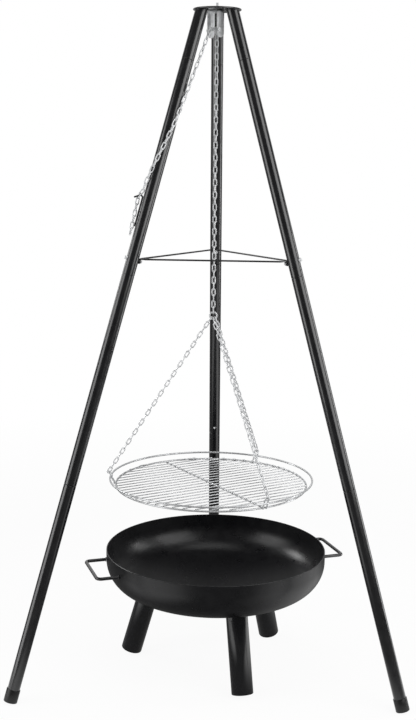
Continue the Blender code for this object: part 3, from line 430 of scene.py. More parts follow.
def plug(radius, bottom, top, sides, frame):
    """A plain round cutter along the frame's Z axis."""
    return lathe([(0.0, bottom), (radius, bottom), (radius, top), (0.0, top)], sides, frame, False)


def torus(radius, wire_radius, segments, sides, frame):
    """A ring about the frame's Z axis."""
    profile = []
    for step in range(sides):
        angle = math.tau * step / sides
        profile.append((radius + wire_radius * math.cos(angle), wire_radius * math.sin(angle)))
    return lathe(profile, segments, frame)


def rounded(points, bend, steps):
    """A path with its inner corners turned into arcs of one bend radius."""
    path = [points[0]]
    for before, corner, after in zip(points, points[1:], points[2:]):
        arriving = (before - corner).normalized()
        leaving = (after - corner).normalized()
        half = arriving.angle(leaving) / 2
        centre = corner + (arriving + leaving).normalized() * bend / math.sin(half)
        start = corner + arriving * bend / math.tan(half) - centre
        end = corner + leaving * bend / math.tan(half) - centre
        for step in range(steps + 1):
            path.append(centre + start.slerp(end, step / steps).normalized() * bend)
    path.append(points[-1])
    return path


def placed(name, data):
    """A new object in the scene."""
    item = bpy.data.objects.new(name, data)
    bpy.context.collection.objects.link(item)
    return item


def evaluated(item):
    """A new mesh of an object as it is drawn, with its modifiers or bevel."""
    bpy.context.view_layer.update()
    return bpy.data.meshes.new_from_object(item.evaluated_get(bpy.context.evaluated_depsgraph_get()))


def rod(path, radius, radii=None, cyclic=False, smoothness=ROD_SMOOTHNESS):
    """A round rod along a path, as a bevelled curve turned into a mesh."""
    curve = bpy.data.curves.new("rod", "CURVE")
    curve.dimensions = "3D"
    curve.bevel_depth = radius
    curve.bevel_resolution = smoothness
    curve.use_fill_caps = True
    spline = curve.splines.new("POLY")
    spline.use_cyclic_u = cyclic
    spline.points.add(len(path) - 1)
    for index, point in enumerate(path):
        spline.points[index].co = (*point, 1.0)
        spline.points[index].radius = radii[index] if radii else 1.0
    holder = placed("rod", curve)
    drawn = evaluated(holder)
    bpy.data.objects.remove(holder, do_unlink=True)
    bm = bmesh.new()
    bm.from_mesh(drawn)
    return new_shape(bm)


def weld_bead(points, ripple, ripples):
    """A rippled bead of weld along a closed row of points."""
    radii = []
    for index in range(len(points)):
        turn = math.tau * index / len(points)
        radii.append(1.0 + ripple * math.sin(turn * ripples))
    return rod(points, BEAD_RADIUS, radii, True, FINE_WIRE_SMOOTHNESS)


def joined(meshes):
    """Several meshes as one."""
    bm = bmesh.new()
    for mesh in meshes:
        bm.from_mesh(mesh)
    return plain_mesh(bm)


def cut(mesh, cutter):
    """A mesh with another one cut out of it."""
    target = placed("target", mesh)
    tool = placed("tool", cutter)
    modifier = target.modifiers.new("cut", "BOOLEAN")
    modifier.operation = "DIFFERENCE"
    modifier.solver = "EXACT"
    modifier.object = tool
    result = evaluated(target)
    for item in (target, tool):
        bpy.data.objects.remove(item, do_unlink=True)
    return result


def piece(name, mesh, finish, nodes, body="tripod", crease=CREASE):
    """Put a mesh in its place as a piece that rides on a body and stands for CAD nodes."""
    material, slot = finish
    mesh.transform(Matrix.Translation(AXIS_PLACE))
    mesh.shade_smooth()
    mesh.set_sharp_from_angle(angle=math.radians(crease))
    mesh.materials.clear()
    mesh.materials.append(material)
    item = placed(name, mesh)
    if body:
        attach(item, body)
    if nodes:
        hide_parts(*nodes)
    return item


def node_maker(tree):
    """A function that adds nodes to a tree and sets or links their inputs."""
    def add(kind, inputs=(), **settings):
        node = tree.nodes.new(kind)
        for key, value in settings.items():
            setattr(node, key, value)
        for key, value in dict(inputs).items():
            if isinstance(value, bpy.types.NodeSocket):
                tree.links.new(value, node.inputs[key])
            else:
                node.inputs[key].default_value = value
        return node

    return add


def combine(add, operation, *values, kind="ShaderNodeMath"):
    """What an operation makes of numbers, or of places with the vector kind."""
    return add(kind, dict(enumerate(values)), operation=operation).outputs["Value"]


def remap(add, value, source, result, kind="LINEAR"):
    """A number carried from one range to another."""
    node = add("ShaderNodeMapRange", {"Value": value, "From Min": source[0], "From Max": source[1],
                                      "To Min": result[0], "To Max": result[1]}, interpolation_type=kind)
    return node.outputs["Result"]


def new_material(name):
    """A new material with its tree, its shader and the function that adds nodes to it."""
    material = bpy.data.materials.new(name)
    material.use_nodes = True
    tree = material.node_tree
    return material, tree, tree.nodes["Principled BSDF"], node_maker(tree)


def surface(name, dark, light, rough, grain, bump, metallic=0.0, spots=None, coat=0.0):
    """A finish whose colour and roughness drift over the surface, with a fine grain in relief.

    rough is (smoothest, roughest), grain is the relief's scale per metre, and spots, where given,
    is (scale, strength) of a cell pattern in the colour, as on galvanised steel.
    """
    material, tree, shader, add = new_material(name)
    place = add("ShaderNodeTexCoord").outputs["Object"]
    drift = add("ShaderNodeTexNoise", {"Vector": place, "Scale": DRIFT_SCALE, "Detail": DRIFT_DETAIL,
                                       "Roughness": DRIFT_ROUGHNESS})
    amount = drift.outputs["Fac"]
    if spots:
        cells = add("ShaderNodeTexVoronoi", {"Vector": place, "Scale": spots[0]})
        grey = add("ShaderNodeRGBToBW", {"Color": cells.outputs["Color"]})
        mixed = add("ShaderNodeMix", {"Factor": spots[1], "A": amount, "B": grey.outputs["Val"]})
        amount = mixed.outputs["Result"]
    ramp = add("ShaderNodeValToRGB", {"Fac": amount})
    for element, position, colour in zip(ramp.color_ramp.elements, DRIFT_RANGE, (dark, light)):
        element.position = position
        element.color = (*colour, 1.0)
    tree.links.new(ramp.outputs["Color"], shader.inputs["Base Color"])
    tree.links.new(remap(add, drift.outputs["Fac"], DRIFT_RANGE, rough), shader.inputs["Roughness"])
    fine = add("ShaderNodeTexNoise", {"Vector": place, "Scale": grain, "Detail": GRAIN_DETAIL})
    relief = add("ShaderNodeBump", {"Height": fine.outputs["Fac"], "Strength": bump, "Distance": GRAIN_DEPTH})
    tree.links.new(relief.outputs["Normal"], shader.inputs["Normal"])
    shader.inputs["Metallic"].default_value = metallic
    shader.inputs["Coat Weight"].default_value = coat
    shader.inputs["Coat Roughness"].default_value = COAT_ROUGHNESS
    return material


def make_finishes():
    """Every finish on the object, by name: its material and the record's slot for it."""
    return {
        "tube": (surface("satin_black_paint", (0.005, 0.005, 0.006), (0.009, 0.009, 0.010),
                         rough=(0.26, 0.36), grain=900.0, bump=0.10, coat=1.0), "black_paint"),
        "bowl": (surface("stove_black_paint", (0.004, 0.004, 0.005), (0.008, 0.008, 0.009),
                         rough=(0.26, 0.35), grain=1400.0, bump=0.06), "black_paint"),
        "gloss": (surface("gloss_black_paint", (0.003, 0.003, 0.004), (0.006, 0.006, 0.007),
                          rough=(0.09, 0.15), grain=700.0, bump=0.06, coat=1.0), "black_paint"),
        "cap": (surface("black_plastic", (0.004, 0.004, 0.004), (0.008, 0.008, 0.008),
                        rough=(0.38, 0.5), grain=1600.0, bump=0.2), "black_cap"),
        "zinc": (surface("bright_zinc", (0.68, 0.69, 0.70), (0.86, 0.87, 0.88),
                         rough=(0.34, 0.48), grain=1200.0, bump=0.10, metallic=0.45), "bright_zinc"),
        "galvanised": (surface("galvanised_strap", (0.72, 0.73, 0.74), (0.84, 0.85, 0.86), rough=(0.34, 0.48),
                               grain=1500.0, bump=0.15, metallic=0.7, spots=(170.0, 0.5)), "bright_zinc"),
        "chrome": (surface("chromed_wire", (0.60, 0.61, 0.62), (0.74, 0.75, 0.76),
                           rough=(0.20, 0.30), grain=900.0, bump=0.04, metallic=0.6), "chrome_wire"),
    }


def level_cut(mesh, frame, at, level):
    """Slide a leg's vertices at one place along it to a level height, as a mitred end."""
    inverse = frame.inverted()
    for vertex in mesh.vertices:
        local = inverse @ vertex.co
        if abs(local.z - at) < SAME_END:
            local.z = (level - local.x * math.sin(LEG_LEAN)) / math.cos(LEG_LEAN)
            vertex.co = frame @ local


def tube_profile(bottom, top, outer, inner, edge=EDGE_ROUND):
    """The wall of a tube or of a pierced plate, with slightly rounded outer edges."""
    return [(inner, bottom), (outer - edge, bottom), (outer, bottom + edge), (outer, top - edge),
            (outer - edge, top), (inner, top)]


def draw_legs(finish):
    """Stubs, plug-in tubes, snap buttons and foot caps of the three legs."""
    stub_bottom = UPPER_SEAM + SEAM_GAP
    for side, azimuth in LEG_AZIMUTHS.items():
        frame = leg_frame(azimuth)
        stub = lathe([(TUBE_BORE, stub_bottom), (TUBE_RADIUS - EDGE_ROUND, stub_bottom),
                      (TUBE_RADIUS, stub_bottom + EDGE_ROUND), (TUBE_RADIUS, LEG_LENGTH),
                      (TUBE_BORE, LEG_LENGTH)], frame=frame)
        level_cut(stub, frame, LEG_LENGTH, PLATE_BOTTOM - SEAM_GAP)
        piece("stub_" + side, stub, finish["tube"], ["head_stub_" + side])
        piece("stub_weld_" + side, stub_weld(frame), finish["tube"], [], crease=WIRE_CREASE)
        for level, bottom, top in (("upper", MIDDLE_SEAM, UPPER_SEAM), ("middle", LOWER_SEAM, MIDDLE_SEAM),
                                   ("lower", FOOT_END + FOOT_CAP_FLOOR, LOWER_SEAM)):
            piece(level + "_tube_" + side, tube_shape(bottom, top, frame), finish["tube"],
                  ["leg_" + level + "_tube_" + side])
        for level, seam in (("upper", MIDDLE_SEAM), ("lower", LOWER_SEAM)):
            seat = across_leg(frame, seam + BUTTON_ABOVE_SEAM, math.pi, TUBE_BORE)
            piece("button_" + level + "_" + side, button_shape(seat), finish["zinc"],
                  ["snap_button_" + level + "_" + side])
        piece("cap_" + side, cap_shape(frame), finish["cap"], ["foot_cap_" + side])


def tube_shape(bottom, top, frame):
    """A leg section with the narrowed spigot on its top."""
    tube = lathe(tube_profile(bottom + SEAM_GAP, top - SEAM_GAP, TUBE_RADIUS, TUBE_BORE), frame=frame)
    outer = TUBE_BORE - SEAM_GAP
    inner = outer - TUBE_WALL
    root = top - SPIGOT_ROOT
    tip = top + SPIGOT_LENGTH
    return joined([tube, lathe([(outer, root), (outer, tip), (inner, tip), (inner, root)], frame=frame)])


def button_shape(seat):
    """A snap button with a domed head."""
    dome = [(0.0, 0.0), (BUTTON_RADIUS, 0.0), (BUTTON_RADIUS, TUBE_WALL)]
    for step in range(1, DOME_STEPS + 1):
        angle = math.pi / 2 * step / DOME_STEPS
        dome.append((BUTTON_RADIUS * math.cos(angle), TUBE_WALL + BUTTON_PROUD * math.sin(angle)))
    return lathe(dome, BUTTON_SIDES, seat, False)


def cap_shape(frame):
    """A foot cap cut square to the leg, with a small flat where it stands on the floor."""
    inner = TUBE_RADIUS + SEAM_GAP
    top = FOOT_END + FOOT_CAP_LENGTH
    floor = FOOT_END + FOOT_CAP_FLOOR
    middle = FOOT_CAP_EDGE * EDGE_MIDDLE
    cap = lathe([(0.0, FOOT_END), (FOOT_CAP_RADIUS - FOOT_CAP_EDGE, FOOT_END),
                 (FOOT_CAP_RADIUS - middle, FOOT_END + middle), (FOOT_CAP_RADIUS, FOOT_END + FOOT_CAP_EDGE),
                 (FOOT_CAP_RADIUS, top - FOOT_CAP_LIP_HEIGHT), (FOOT_CAP_RADIUS - FOOT_CAP_LIP_WIDTH, top),
                 (inner, top), (inner, floor), (0.0, floor)], frame=frame, closed=False)
    depth = 4 * FOOT_CAP_RADIUS
    return cut(cap, plug(depth, -depth, 0.0, GROUND_SIDES, Matrix.Translation(frame.translation)))


def stub_weld(frame):
    """The rippled bead where a stub meets the plate."""
    points = []
    for step in range(STUB_BEAD_STEPS):
        local = polar(TUBE_RADIUS + BEAD_OUT, math.tau * step / STUB_BEAD_STEPS)
        local.z = (PLATE_BOTTOM - STUB_BEAD_DROP - local.x * math.sin(LEG_LEAN)) / math.cos(LEG_LEAN)
        points.append(frame @ local)
    return weld_bead(points, STUB_RIPPLE, STUB_RIPPLES)


def hexagon(height, frame, bore=0.0):
    """A hexagon head or nut with its corners taken off."""
    corner = BOLT_HEAD_FLATS / math.sqrt(3)
    bm = bmesh.new()
    bmesh.ops.create_cone(bm, cap_ends=True, segments=6, radius1=corner, radius2=corner, depth=height,
                          matrix=raised(height / 2))
    rims = [edge for edge in bm.edges if abs(edge.verts[0].co.z - edge.verts[1].co.z) < SAME_HEIGHT]
    bmesh.ops.bevel(bm, geom=rims, offset=HEXAGON_EDGE, segments=HEXAGON_EDGE_STEPS, profile=ROUND_BEVEL,
                    affect="EDGES")
    body = new_shape(bm, frame)
    if bore:
        body = cut(body, plug(bore, -height, 2 * height, BOLT_SIDES, frame))
    return body


def threaded(length, plain, frame):
    """A bolt's shank: plain, then threaded to its end."""
    profile = [(0.0, 0.0), (BOLT_RADIUS, 0.0), (BOLT_RADIUS, plain)]
    z = plain
    while z + THREAD_PITCH < length - BOLT_TIP_LENGTH:
        profile.append((BOLT_RADIUS * THREAD_ROOT_SHARE, z + THREAD_PITCH / 2))
        profile.append((BOLT_RADIUS, z + THREAD_PITCH))
        z += THREAD_PITCH
    profile += [(BOLT_RADIUS * BOLT_TIP_SHARE, length), (0.0, length)]
    return lathe(profile, BOLT_SIDES, frame, False)


def bolt(length, plain, frame):
    """A bolt with a hexagon head, whose shank starts at the frame."""
    head = hexagon(BOLT_HEAD_HEIGHT, frame @ raised(-BOLT_HEAD_HEIGHT))
    return joined([head, threaded(length, plain, frame)])


def draw_head(finish):
    """The round plate, the strap bracket and their bolts."""
    plate = lathe(tube_profile(PLATE_BOTTOM, PLATE_TOP, HEAD_RADIUS, BOLT_BORE, HEAD_EDGE), HEAD_SIDES)
    piece("plate", plate, finish["tube"], ["head_plate"])
    base_top = PLATE_BOTTOM - SEAM_GAP
    piece("bracket", bracket_shape(base_top), finish["galvanised"], ["chain_bracket"])
    bolt_start = base_top - STRAP_THICKNESS - SEAM_GAP
    length = PLATE_TOP + HEAD_BOLT_PROUD - bolt_start
    piece("centre_bolt", bolt(length, HEAD_BOLT_PLAIN, raised(bolt_start)), finish["zinc"], ["bracket_bolt"])
    nut = hexagon(NUT_HEIGHT, raised(PLATE_TOP + SEAM_GAP), BOLT_BORE)
    piece("centre_nut", nut, finish["zinc"], ["bracket_nut"])
    seat = BRACKET_WIDTH / 2 + SEAM_GAP
    length = 2 * seat + SEAM_GAP + NUT_HEIGHT + PIN_PROUD
    pin = bolt(length, 2 * seat - PIN_THREAD_INSIDE, axes(PIN_CENTRE - PIN_AXIS * seat, UP, PIN_AXIS))
    piece("cross_pin", pin, finish["zinc"], ["chain_pin"])
    nut = hexagon(NUT_HEIGHT, axes(PIN_CENTRE + PIN_AXIS * seat, UP, PIN_AXIS), BOLT_BORE)
    piece("cross_pin_nut", nut, finish["zinc"], ["chain_pin_nut"])


def bracket_shape(base_top):
    """A U-bent strap with rounded ends and holes for the centre bolt and the pin."""
    middle = PIN_CENTRE - CHAIN_SIDE * SADDLE_REACH / 2         # halfway between the bolt and the pin
    frame = axes(Vector((middle.x, middle.y, base_top)), PIN_AXIS, UP)
    half = BRACKET_WIDTH / 2
    inside = half - STRAP_THICKNESS
    outline = [(-half, -BRACKET_DROP), (-half, 0.0), (half, 0.0), (half, -BRACKET_DROP),
               (inside, -BRACKET_DROP), (inside, -STRAP_THICKNESS), (-inside, -STRAP_THICKNESS),
               (-inside, -BRACKET_DROP)]
    bm = bmesh.new()
    face = bm.faces.new([bm.verts.new((x, -STRAP_WIDTH / 2, z)) for x, z in outline])
    grown = bmesh.ops.extrude_face_region(bm, geom=[face])["geom"]
    moved = [item for item in grown if isinstance(item, bmesh.types.BMVert)]
    bmesh.ops.translate(bm, verts=moved, vec=(0.0, STRAP_WIDTH, 0.0))
    bmesh.ops.recalc_face_normals(bm, faces=bm.faces)

    def bevel(direction, test, offset, segments):
        chosen = []
        for edge in bm.edges:
            ends = [vertex.co for vertex in edge.verts]
            way = ends[1] - ends[0]
            if abs(way[direction]) > MOSTLY_ALONG * way.length and all(test(end) for end in ends):
                chosen.append(edge)
        bmesh.ops.bevel(bm, geom=chosen, offset=offset, segments=segments, profile=ROUND_BEVEL,
                        affect="EDGES")

    bevel(0, lambda end: end.z < -BRACKET_DROP + SAME_HEIGHT, STRAP_WIDTH / 2 - STRAP_END_FLAT,
          STRAP_END_STEPS)
    bevel(1, lambda end: end.z > -SAME_HEIGHT, BRACKET_BEND, STRAP_BEND_STEPS)
    bevel(1, lambda end: abs(end.z + STRAP_THICKNESS) < SAME_HEIGHT, BRACKET_BEND - STRAP_THICKNESS,
          STRAP_BEND_STEPS)
    strap = new_shape(bm, frame)
    for start, way, length in ((PIN_CENTRE - PIN_AXIS * BRACKET_WIDTH, PIN_AXIS, 2 * BRACKET_WIDTH),
                               (UP * (base_top - 2 * STRAP_THICKNESS), UP, 4 * STRAP_THICKNESS)):
        strap = cut(strap, plug(BOLT_BORE, 0.0, length, BOLT_SIDES, axes(start, CHAIN_SIDE, way)))
    return strap


def draw_spacers(finish):
    """The rods with eyes that tie the legs together, and the bolts through the legs."""
    first_layer = TUBE_RADIUS + SEAM_GAP
    second_layer = first_layer + EYE_THICKNESS + SEAM_GAP
    head_seat = second_layer + EYE_THICKNESS + SEAM_GAP
    sides = list(LEG_AZIMUTHS)
    for index, side in enumerate(sides):
        frame = leg_frame(LEG_AZIMUTHS[side])
        other = sides[(index + 1) % len(sides)]
        inward = across_leg(frame, SPACER_ALONG, math.pi, head_seat)
        outward = axes(inward.translation, inward.to_3x3() @ RIGHT, inward.to_3x3() @ DOWN)
        length = head_seat + TUBE_RADIUS + SEAM_GAP + NUT_HEIGHT + PIN_PROUD
        piece("leg_bolt_" + side, bolt(length, length - SPACER_BOLT_THREAD, outward), finish["zinc"],
              ["spacer_bolt_" + side])
        nut = hexagon(NUT_HEIGHT, across_leg(frame, SPACER_ALONG, 0.0, first_layer), BOLT_BORE)
        piece("leg_nut_" + side, nut, finish["zinc"], ["spacer_nut_" + side])
        seats = [across_leg(frame, SPACER_ALONG, math.pi, first_layer),
                 across_leg(leg_frame(LEG_AZIMUTHS[other]), SPACER_ALONG, math.pi, second_layer)]
        piece("spacer_" + side, spacer_shape(seats), finish["tube"], ["spacer_rod_" + side + "_" + other])


def spacer_shape(seats):
    """A rod between two flat eyes, each on its own leg."""
    middles = [seat @ (UP * EYE_THICKNESS / 2) for seat in seats]
    ends = []
    for seat, middle, target in zip(seats, middles, reversed(middles)):
        face = seat.to_3x3() @ UP
        toward = (target - middle).normalized()
        flat = (toward - face * toward.dot(face)).normalized()
        neck = middle + flat * (EYE_RADIUS + EYE_NECK_LENGTH / 3)
        ends.append([middle + flat * (EYE_RADIUS - EYE_NECK_SINK), neck, neck + toward * EYE_NECK_LENGTH])
    thin = EYE_NECK_RADIUS / SPACER_ROD_RADIUS
    line = ends[0] + ends[1][::-1]
    shapes = [rod(line, SPACER_ROD_RADIUS, [thin, thin, 1.0, 1.0, thin, thin])]
    eye = tube_profile(0.0, EYE_THICKNESS, EYE_RADIUS, BOLT_BORE, EYE_EDGE)
    return joined(shapes + [lathe(eye, EYE_SIDES, seat) for seat in seats])


def link_mesh():
    """One round-wire link along Y, in its XY plane, with the weld on one of its sides."""
    path = []
    for sign in (1.0, -1.0):
        for step in range(LINK_END_STEPS + 1):
            angle = math.pi * step / LINK_END_STEPS
            path.append(Vector((sign * LINK_HALF_WIDTH * math.cos(angle),
                                sign * (LINK_STRAIGHT + LINK_HALF_WIDTH * math.sin(angle)), 0.0)))
        if sign > 0:
            for along in (LINK_WELD_HALF, 0.0, -LINK_WELD_HALF):
                path.append(Vector((-LINK_HALF_WIDTH, along, 0.0)))
    radii = [1.0] * len(path)
    radii[LINK_END_STEPS + 2] = LINK_WELD_SWELL
    return rod(path, WIRE_RADIUS, radii, True, FINE_WIRE_SMOOTHNESS)


def chain(name, stations, finish, body, nodes):
    """Links at (centre, direction, normal) stations."""
    template = link_mesh()
    bm = bmesh.new()
    for centre, direction, normal in stations:
        before = len(bm.verts)
        bm.from_mesh(template)
        bm.verts.ensure_lookup_table()
        place = axes(centre, direction.cross(normal), normal)
        bmesh.ops.transform(bm, matrix=place, verts=bm.verts[before:])
    return piece(name, plain_mesh(bm), finish, nodes, body, WIRE_CREASE)


def along_path(path, distance):
    """The point and direction at a distance along a path of points."""
    for start, end in zip(path, path[1:]):
        length = (end - start).length
        if distance <= length or end is path[-1]:
            return start + (end - start) * (distance / length), (end - start).normalized()
        distance -= length


def path_length(path):
    """The length of a path of points."""
    return sum((end - start).length for start, end in zip(path, path[1:]))


def run_of_links(path, first, last, count, first_normal, last_normal):
    """Stations of links spread evenly along a path, turned a quarter from one to the next."""
    places = [along_path(path, first + (last - first) * index / (count - 1)) for index in range(count)]
    normals = []
    normal = first_normal
    for place, direction in places:
        normal = (normal - direction * normal.dot(direction)).normalized()
        normals.append(normal)
    end_direction = places[-1][1]
    wanted = (last_normal - end_direction * last_normal.dot(end_direction)).normalized()
    reached = Matrix.Rotation(math.pi / 2 * (count - 1), 3, end_direction) @ normals[-1]
    extra = math.atan2(reached.cross(wanted).dot(end_direction), reached.dot(wanted))
    extra = (extra + math.pi / 2) % math.pi - math.pi / 2
    stations = []
    for index, (place, direction) in enumerate(places):
        inner = 0 < index < count - 1
        turn = math.pi / 2 * index + extra * index / (count - 1)
        turn += LINK_PLAY if inner and index % 2 else 0.0
        stations.append((place, direction, Matrix.Rotation(turn, 3, direction) @ normals[index]))
    return stations


def draw_chain_to_leg(finish):
    """The hook on the left leg, the chain from the pin to it, and the chain's free tail."""
    frame = leg_frame(LEG_AZIMUTHS["left"])
    shank_out = TUBE_RADIUS + HOOK_ROD_RADIUS + SEAM_GAP
    corner = on_leg(frame, HOOK_TURN, shank_out, HOOK_ALONG)
    outward = (on_leg(frame, HOOK_TURN, 1.0, 0.0) - on_leg(frame, HOOK_TURN, 0.0, 0.0)).normalized()
    up_leg = frame.to_3x3() @ UP
    arm = outward * math.cos(HOOK_ARM_DROOP) - up_leg * math.sin(HOOK_ARM_DROOP)
    tip = corner + arm * HOOK_ARM
    path = rounded([corner - up_leg * HOOK_SHANK, corner, tip - arm * HOOK_TIP_LENGTH], HOOK_BEND,
                   HOOK_BEND_STEPS)
    hook = rod(path + [tip], HOOK_ROD_RADIUS, [1.0] * len(path) + [HOOK_TIP_SHARE])
    piece("hook", hook, finish["tube"], ["leg_hook"])

    wrap_out = TUBE_RADIUS + LINK_HALF_WIDTH + WIRE_RADIUS + SEAM_GAP
    pin_side = frame.inverted() @ SADDLE_OUTER_END
    reach = math.hypot(pin_side.x, pin_side.y)
    wrap_start = math.atan2(pin_side.y, pin_side.x) - math.acos(wrap_out / reach)
    wrap = []
    for step in range(WRAP_STEPS + 1):
        share = step / WRAP_STEPS
        turn = wrap_start + (WRAP_END - wrap_start) * share
        along = WRAP_START_ALONG + (WRAP_END_ALONG - WRAP_START_ALONG) * share
        along -= WRAP_SAG * 4 * share * (1 - share)
        wrap.append(on_leg(frame, turn, wrap_out, along))
    hooked = corner + arm * HOOK_LINK_OUT
    path = [SADDLE_OUTER_END] + wrap + [hooked]
    arriving = (hooked - wrap[-1]).normalized()
    hooked_centre = hooked + arriving * HOOK_LINK_PAST
    first = LINK_INNER_HALF - WIRE_RADIUS / 2
    last = path_length(path) + HOOK_LINK_PAST
    count = round((last - first) / LINK_PITCH) + 1
    stations = run_of_links(path, first, last, count, PIN_AXIS, arm)

    low_side = arm.cross(arriving).normalized()
    out_way = low_side * math.cos(LINK_CORNER) + arriving * math.sin(LINK_CORNER)
    along_wire = arriving * math.cos(LINK_CORNER) - low_side * math.sin(LINK_CORNER)
    lowest = hooked_centre + arriving * (LINK_INNER_HALF - LINK_INNER_RADIUS) + out_way * LINK_INNER_RADIUS
    tail_way = (on_leg(frame, TAIL_TURN, TAIL_AIM_OUT, HOOK_ALONG - TAIL_AIM_DROP) - lowest).normalized()
    tail_path = [lowest, lowest + tail_way * LINK_PITCH * (TAIL_LINKS + 1)]
    first = LINK_INNER_HALF + LINK_BITE
    last = first + LINK_PITCH * (TAIL_LINKS - 1)
    hung = run_of_links(tail_path, first, last, TAIL_LINKS, along_wire, tail_way.cross(along_wire))
    to_leg = [(SADDLE_CENTRE, CHAIN_SIDE, UP)] + stations + hung[:1]
    chain("links_to_leg", to_leg, finish["zinc"], "tripod", ["chain_to_leg"])
    chain("links_of_tail", hung[1:], finish["zinc"], "tail", ["chain_tail"])


def draw_hanging_chain(finish):
    """The chain from the pin down to the joining ring. Its upper part rides on the hanging chain's body, its
    lower part is baked in place with no body.
    """
    zinc = finish["zinc"]
    chain("first_link", [(SWING_LINK_CENTRE, DOWN, PIN_AXIS)], zinc, "swing_link", ["chain_swing_link"])
    first = SWING_LINK_CENTRE + DOWN * LINK_PITCH
    count = HANGING_LINKS - 1
    path = [first, first + DOWN * LINK_PITCH * HANGING_LINKS]
    quarter = Matrix.Rotation(math.pi / 2, 3, DOWN)
    stations = run_of_links(path, 0.0, LINK_PITCH * (count - 1), count, quarter @ PIN_AXIS, RIGHT)
    upper = chain("upper_links", stations[:HANGING_UPPER_LINKS], zinc, "hanging_chain",
                  ["hanging_chain_upper"])
    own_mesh(upper)
    lower = chain("lower_links", stations[HANGING_UPPER_LINKS:], zinc, None, ["hanging_chain_lower"])
    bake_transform(lower)


def draw_grate(finish):
    """The joining ring, its three chains and the round grate with its raised rim."""
    ring = torus(RING_RADIUS, RING_WIRE_RADIUS, RING_SEGMENTS, HOOP_SIDES, axes(RING_CENTRE, RIGHT, FORWARD))
    piece("ring", ring, finish["zinc"], ["joining_ring"], "grate", WIRE_CREASE)
    for side, azimuth_deg in GRATE_AZIMUTHS.items():
        azimuth = math.radians(azimuth_deg)
        slot = math.radians(RING_SLOTS[side])
        top = RING_CENTRE + Vector((math.cos(slot), 0.0, math.sin(slot))) * RING_RADIUS
        bottom = polar(HANGER_TOP_RADIUS, azimuth, HANGER_TOP_Z)
        ring_way = Vector((-math.sin(slot), 0.0, math.cos(slot)))
        path = [top, bottom]
        last = path_length(path) - HANGER_REACH
        stations = run_of_links(path, RING_REACH, last, SUSPENSION_LINKS, ring_way,
                                polar(1.0, azimuth + math.pi / 2))
        chain("grate_links_" + side, stations, finish["zinc"], "grate", ["grate_chain_" + side])
        piece("hanger_" + side, hanger_shape(azimuth), finish["chrome"], ["grate_hanger_" + side], "grate",
              WIRE_CREASE)
    piece("grid", grid_shape(), finish["chrome"], ["grate_grid"], "grate", WIRE_CREASE)
    rim = torus(RIM_RADIUS, RIM_WIRE_RADIUS, HOOP_SEGMENTS, HOOP_SIDES, raised(RIM_Z))
    piece("rim", rim, finish["chrome"], ["grate_rim"], "grate", WIRE_CREASE)


def grid_shape():
    """The lower ring, the support bar and the bars spot-welded on both."""
    across = polar(1.0, SUPPORT_AZIMUTH)
    lengthways = polar(1.0, SUPPORT_AZIMUTH + math.pi / 2)
    middle = UP * GRID_Z
    shapes = [torus(GRID_RADIUS, GRID_RING_RADIUS, HOOP_SEGMENTS, HOOP_SIDES, raised(GRID_Z)),
              rod([middle - across * GRID_RADIUS, middle + across * GRID_RADIUS], GRID_RING_RADIUS)]
    bar_z = GRID_Z + GRID_RING_RADIUS + BAR_RADIUS - BAR_SINK
    tapers = [BAR_TIP_SHARE, 1.0, 1.0, BAR_TIP_SHARE]
    welds = []
    for index in range(BAR_COUNT):
        offset = (index - (BAR_COUNT - 1) / 2) * BAR_PITCH
        half = math.sqrt(GRID_RADIUS ** 2 - offset ** 2)
        crossing = across * offset + UP * bar_z
        ways = (-half, BAR_TIP_LENGTH - half, half - BAR_TIP_LENGTH, half)
        shapes.append(rod([crossing + lengthways * way for way in ways], BAR_RADIUS, tapers,
                          smoothness=BAR_SMOOTHNESS))
        for way in (-half, 0.0, half):
            welds.append(weld_spot(crossing + lengthways * way * SPOT_INSET - UP * (BAR_RADIUS + SPOT_SINK)))
    return joined(shapes + welds)


def weld_spot(place):
    """A small flat bead of spot weld."""
    bm = bmesh.new()
    bmesh.ops.create_uvsphere(bm, u_segments=SPOT_SIDES, v_segments=SPOT_RINGS, radius=1.0,
                              matrix=Matrix.Diagonal((SPOT_RADIUS, SPOT_RADIUS, SPOT_HEIGHT, 1.0)))
    return new_shape(bm, Matrix.Translation(place))


def hanger_shape(azimuth):
    """A wire loop from the grid ring's outer side, inside the rim and over it."""
    wire = HANGER_WIRE_RADIUS
    ring_side = GRID_RADIUS + GRID_RING_RADIUS + wire + SEAM_GAP
    shoulder = RIM_Z + 2 * RIM_WIRE_RADIUS
    leg = [(ring_side, GRID_Z - wire), (ring_side, GRID_Z + GRID_RING_RADIUS),
           (HANGER_RIM_SIDE, RIM_Z - wire), (HANGER_RIM_SIDE, shoulder)]
    outward = polar(1.0, azimuth)
    sideways = polar(1.0, azimuth + math.pi / 2)
    crown_way = (outward * HANGER_LEAN + UP * (HANGER_TOP_Z - shoulder)).normalized()
    bend_centre = outward * HANGER_TOP_RADIUS + UP * HANGER_TOP_Z - crown_way * HANGER_HALF_WIDTH
    path = [outward * radius - sideways * HANGER_HALF_WIDTH + UP * z for radius, z in leg]
    for step in range(HANGER_STEPS + 1):
        angle = math.pi * step / HANGER_STEPS
        path.append(bend_centre - sideways * HANGER_HALF_WIDTH * math.cos(angle)
                    + crown_way * HANGER_HALF_WIDTH * math.sin(angle))
    path += [outward * radius + sideways * HANGER_HALF_WIDTH + UP * z for radius, z in reversed(leg)]
    return rod(path, wire)


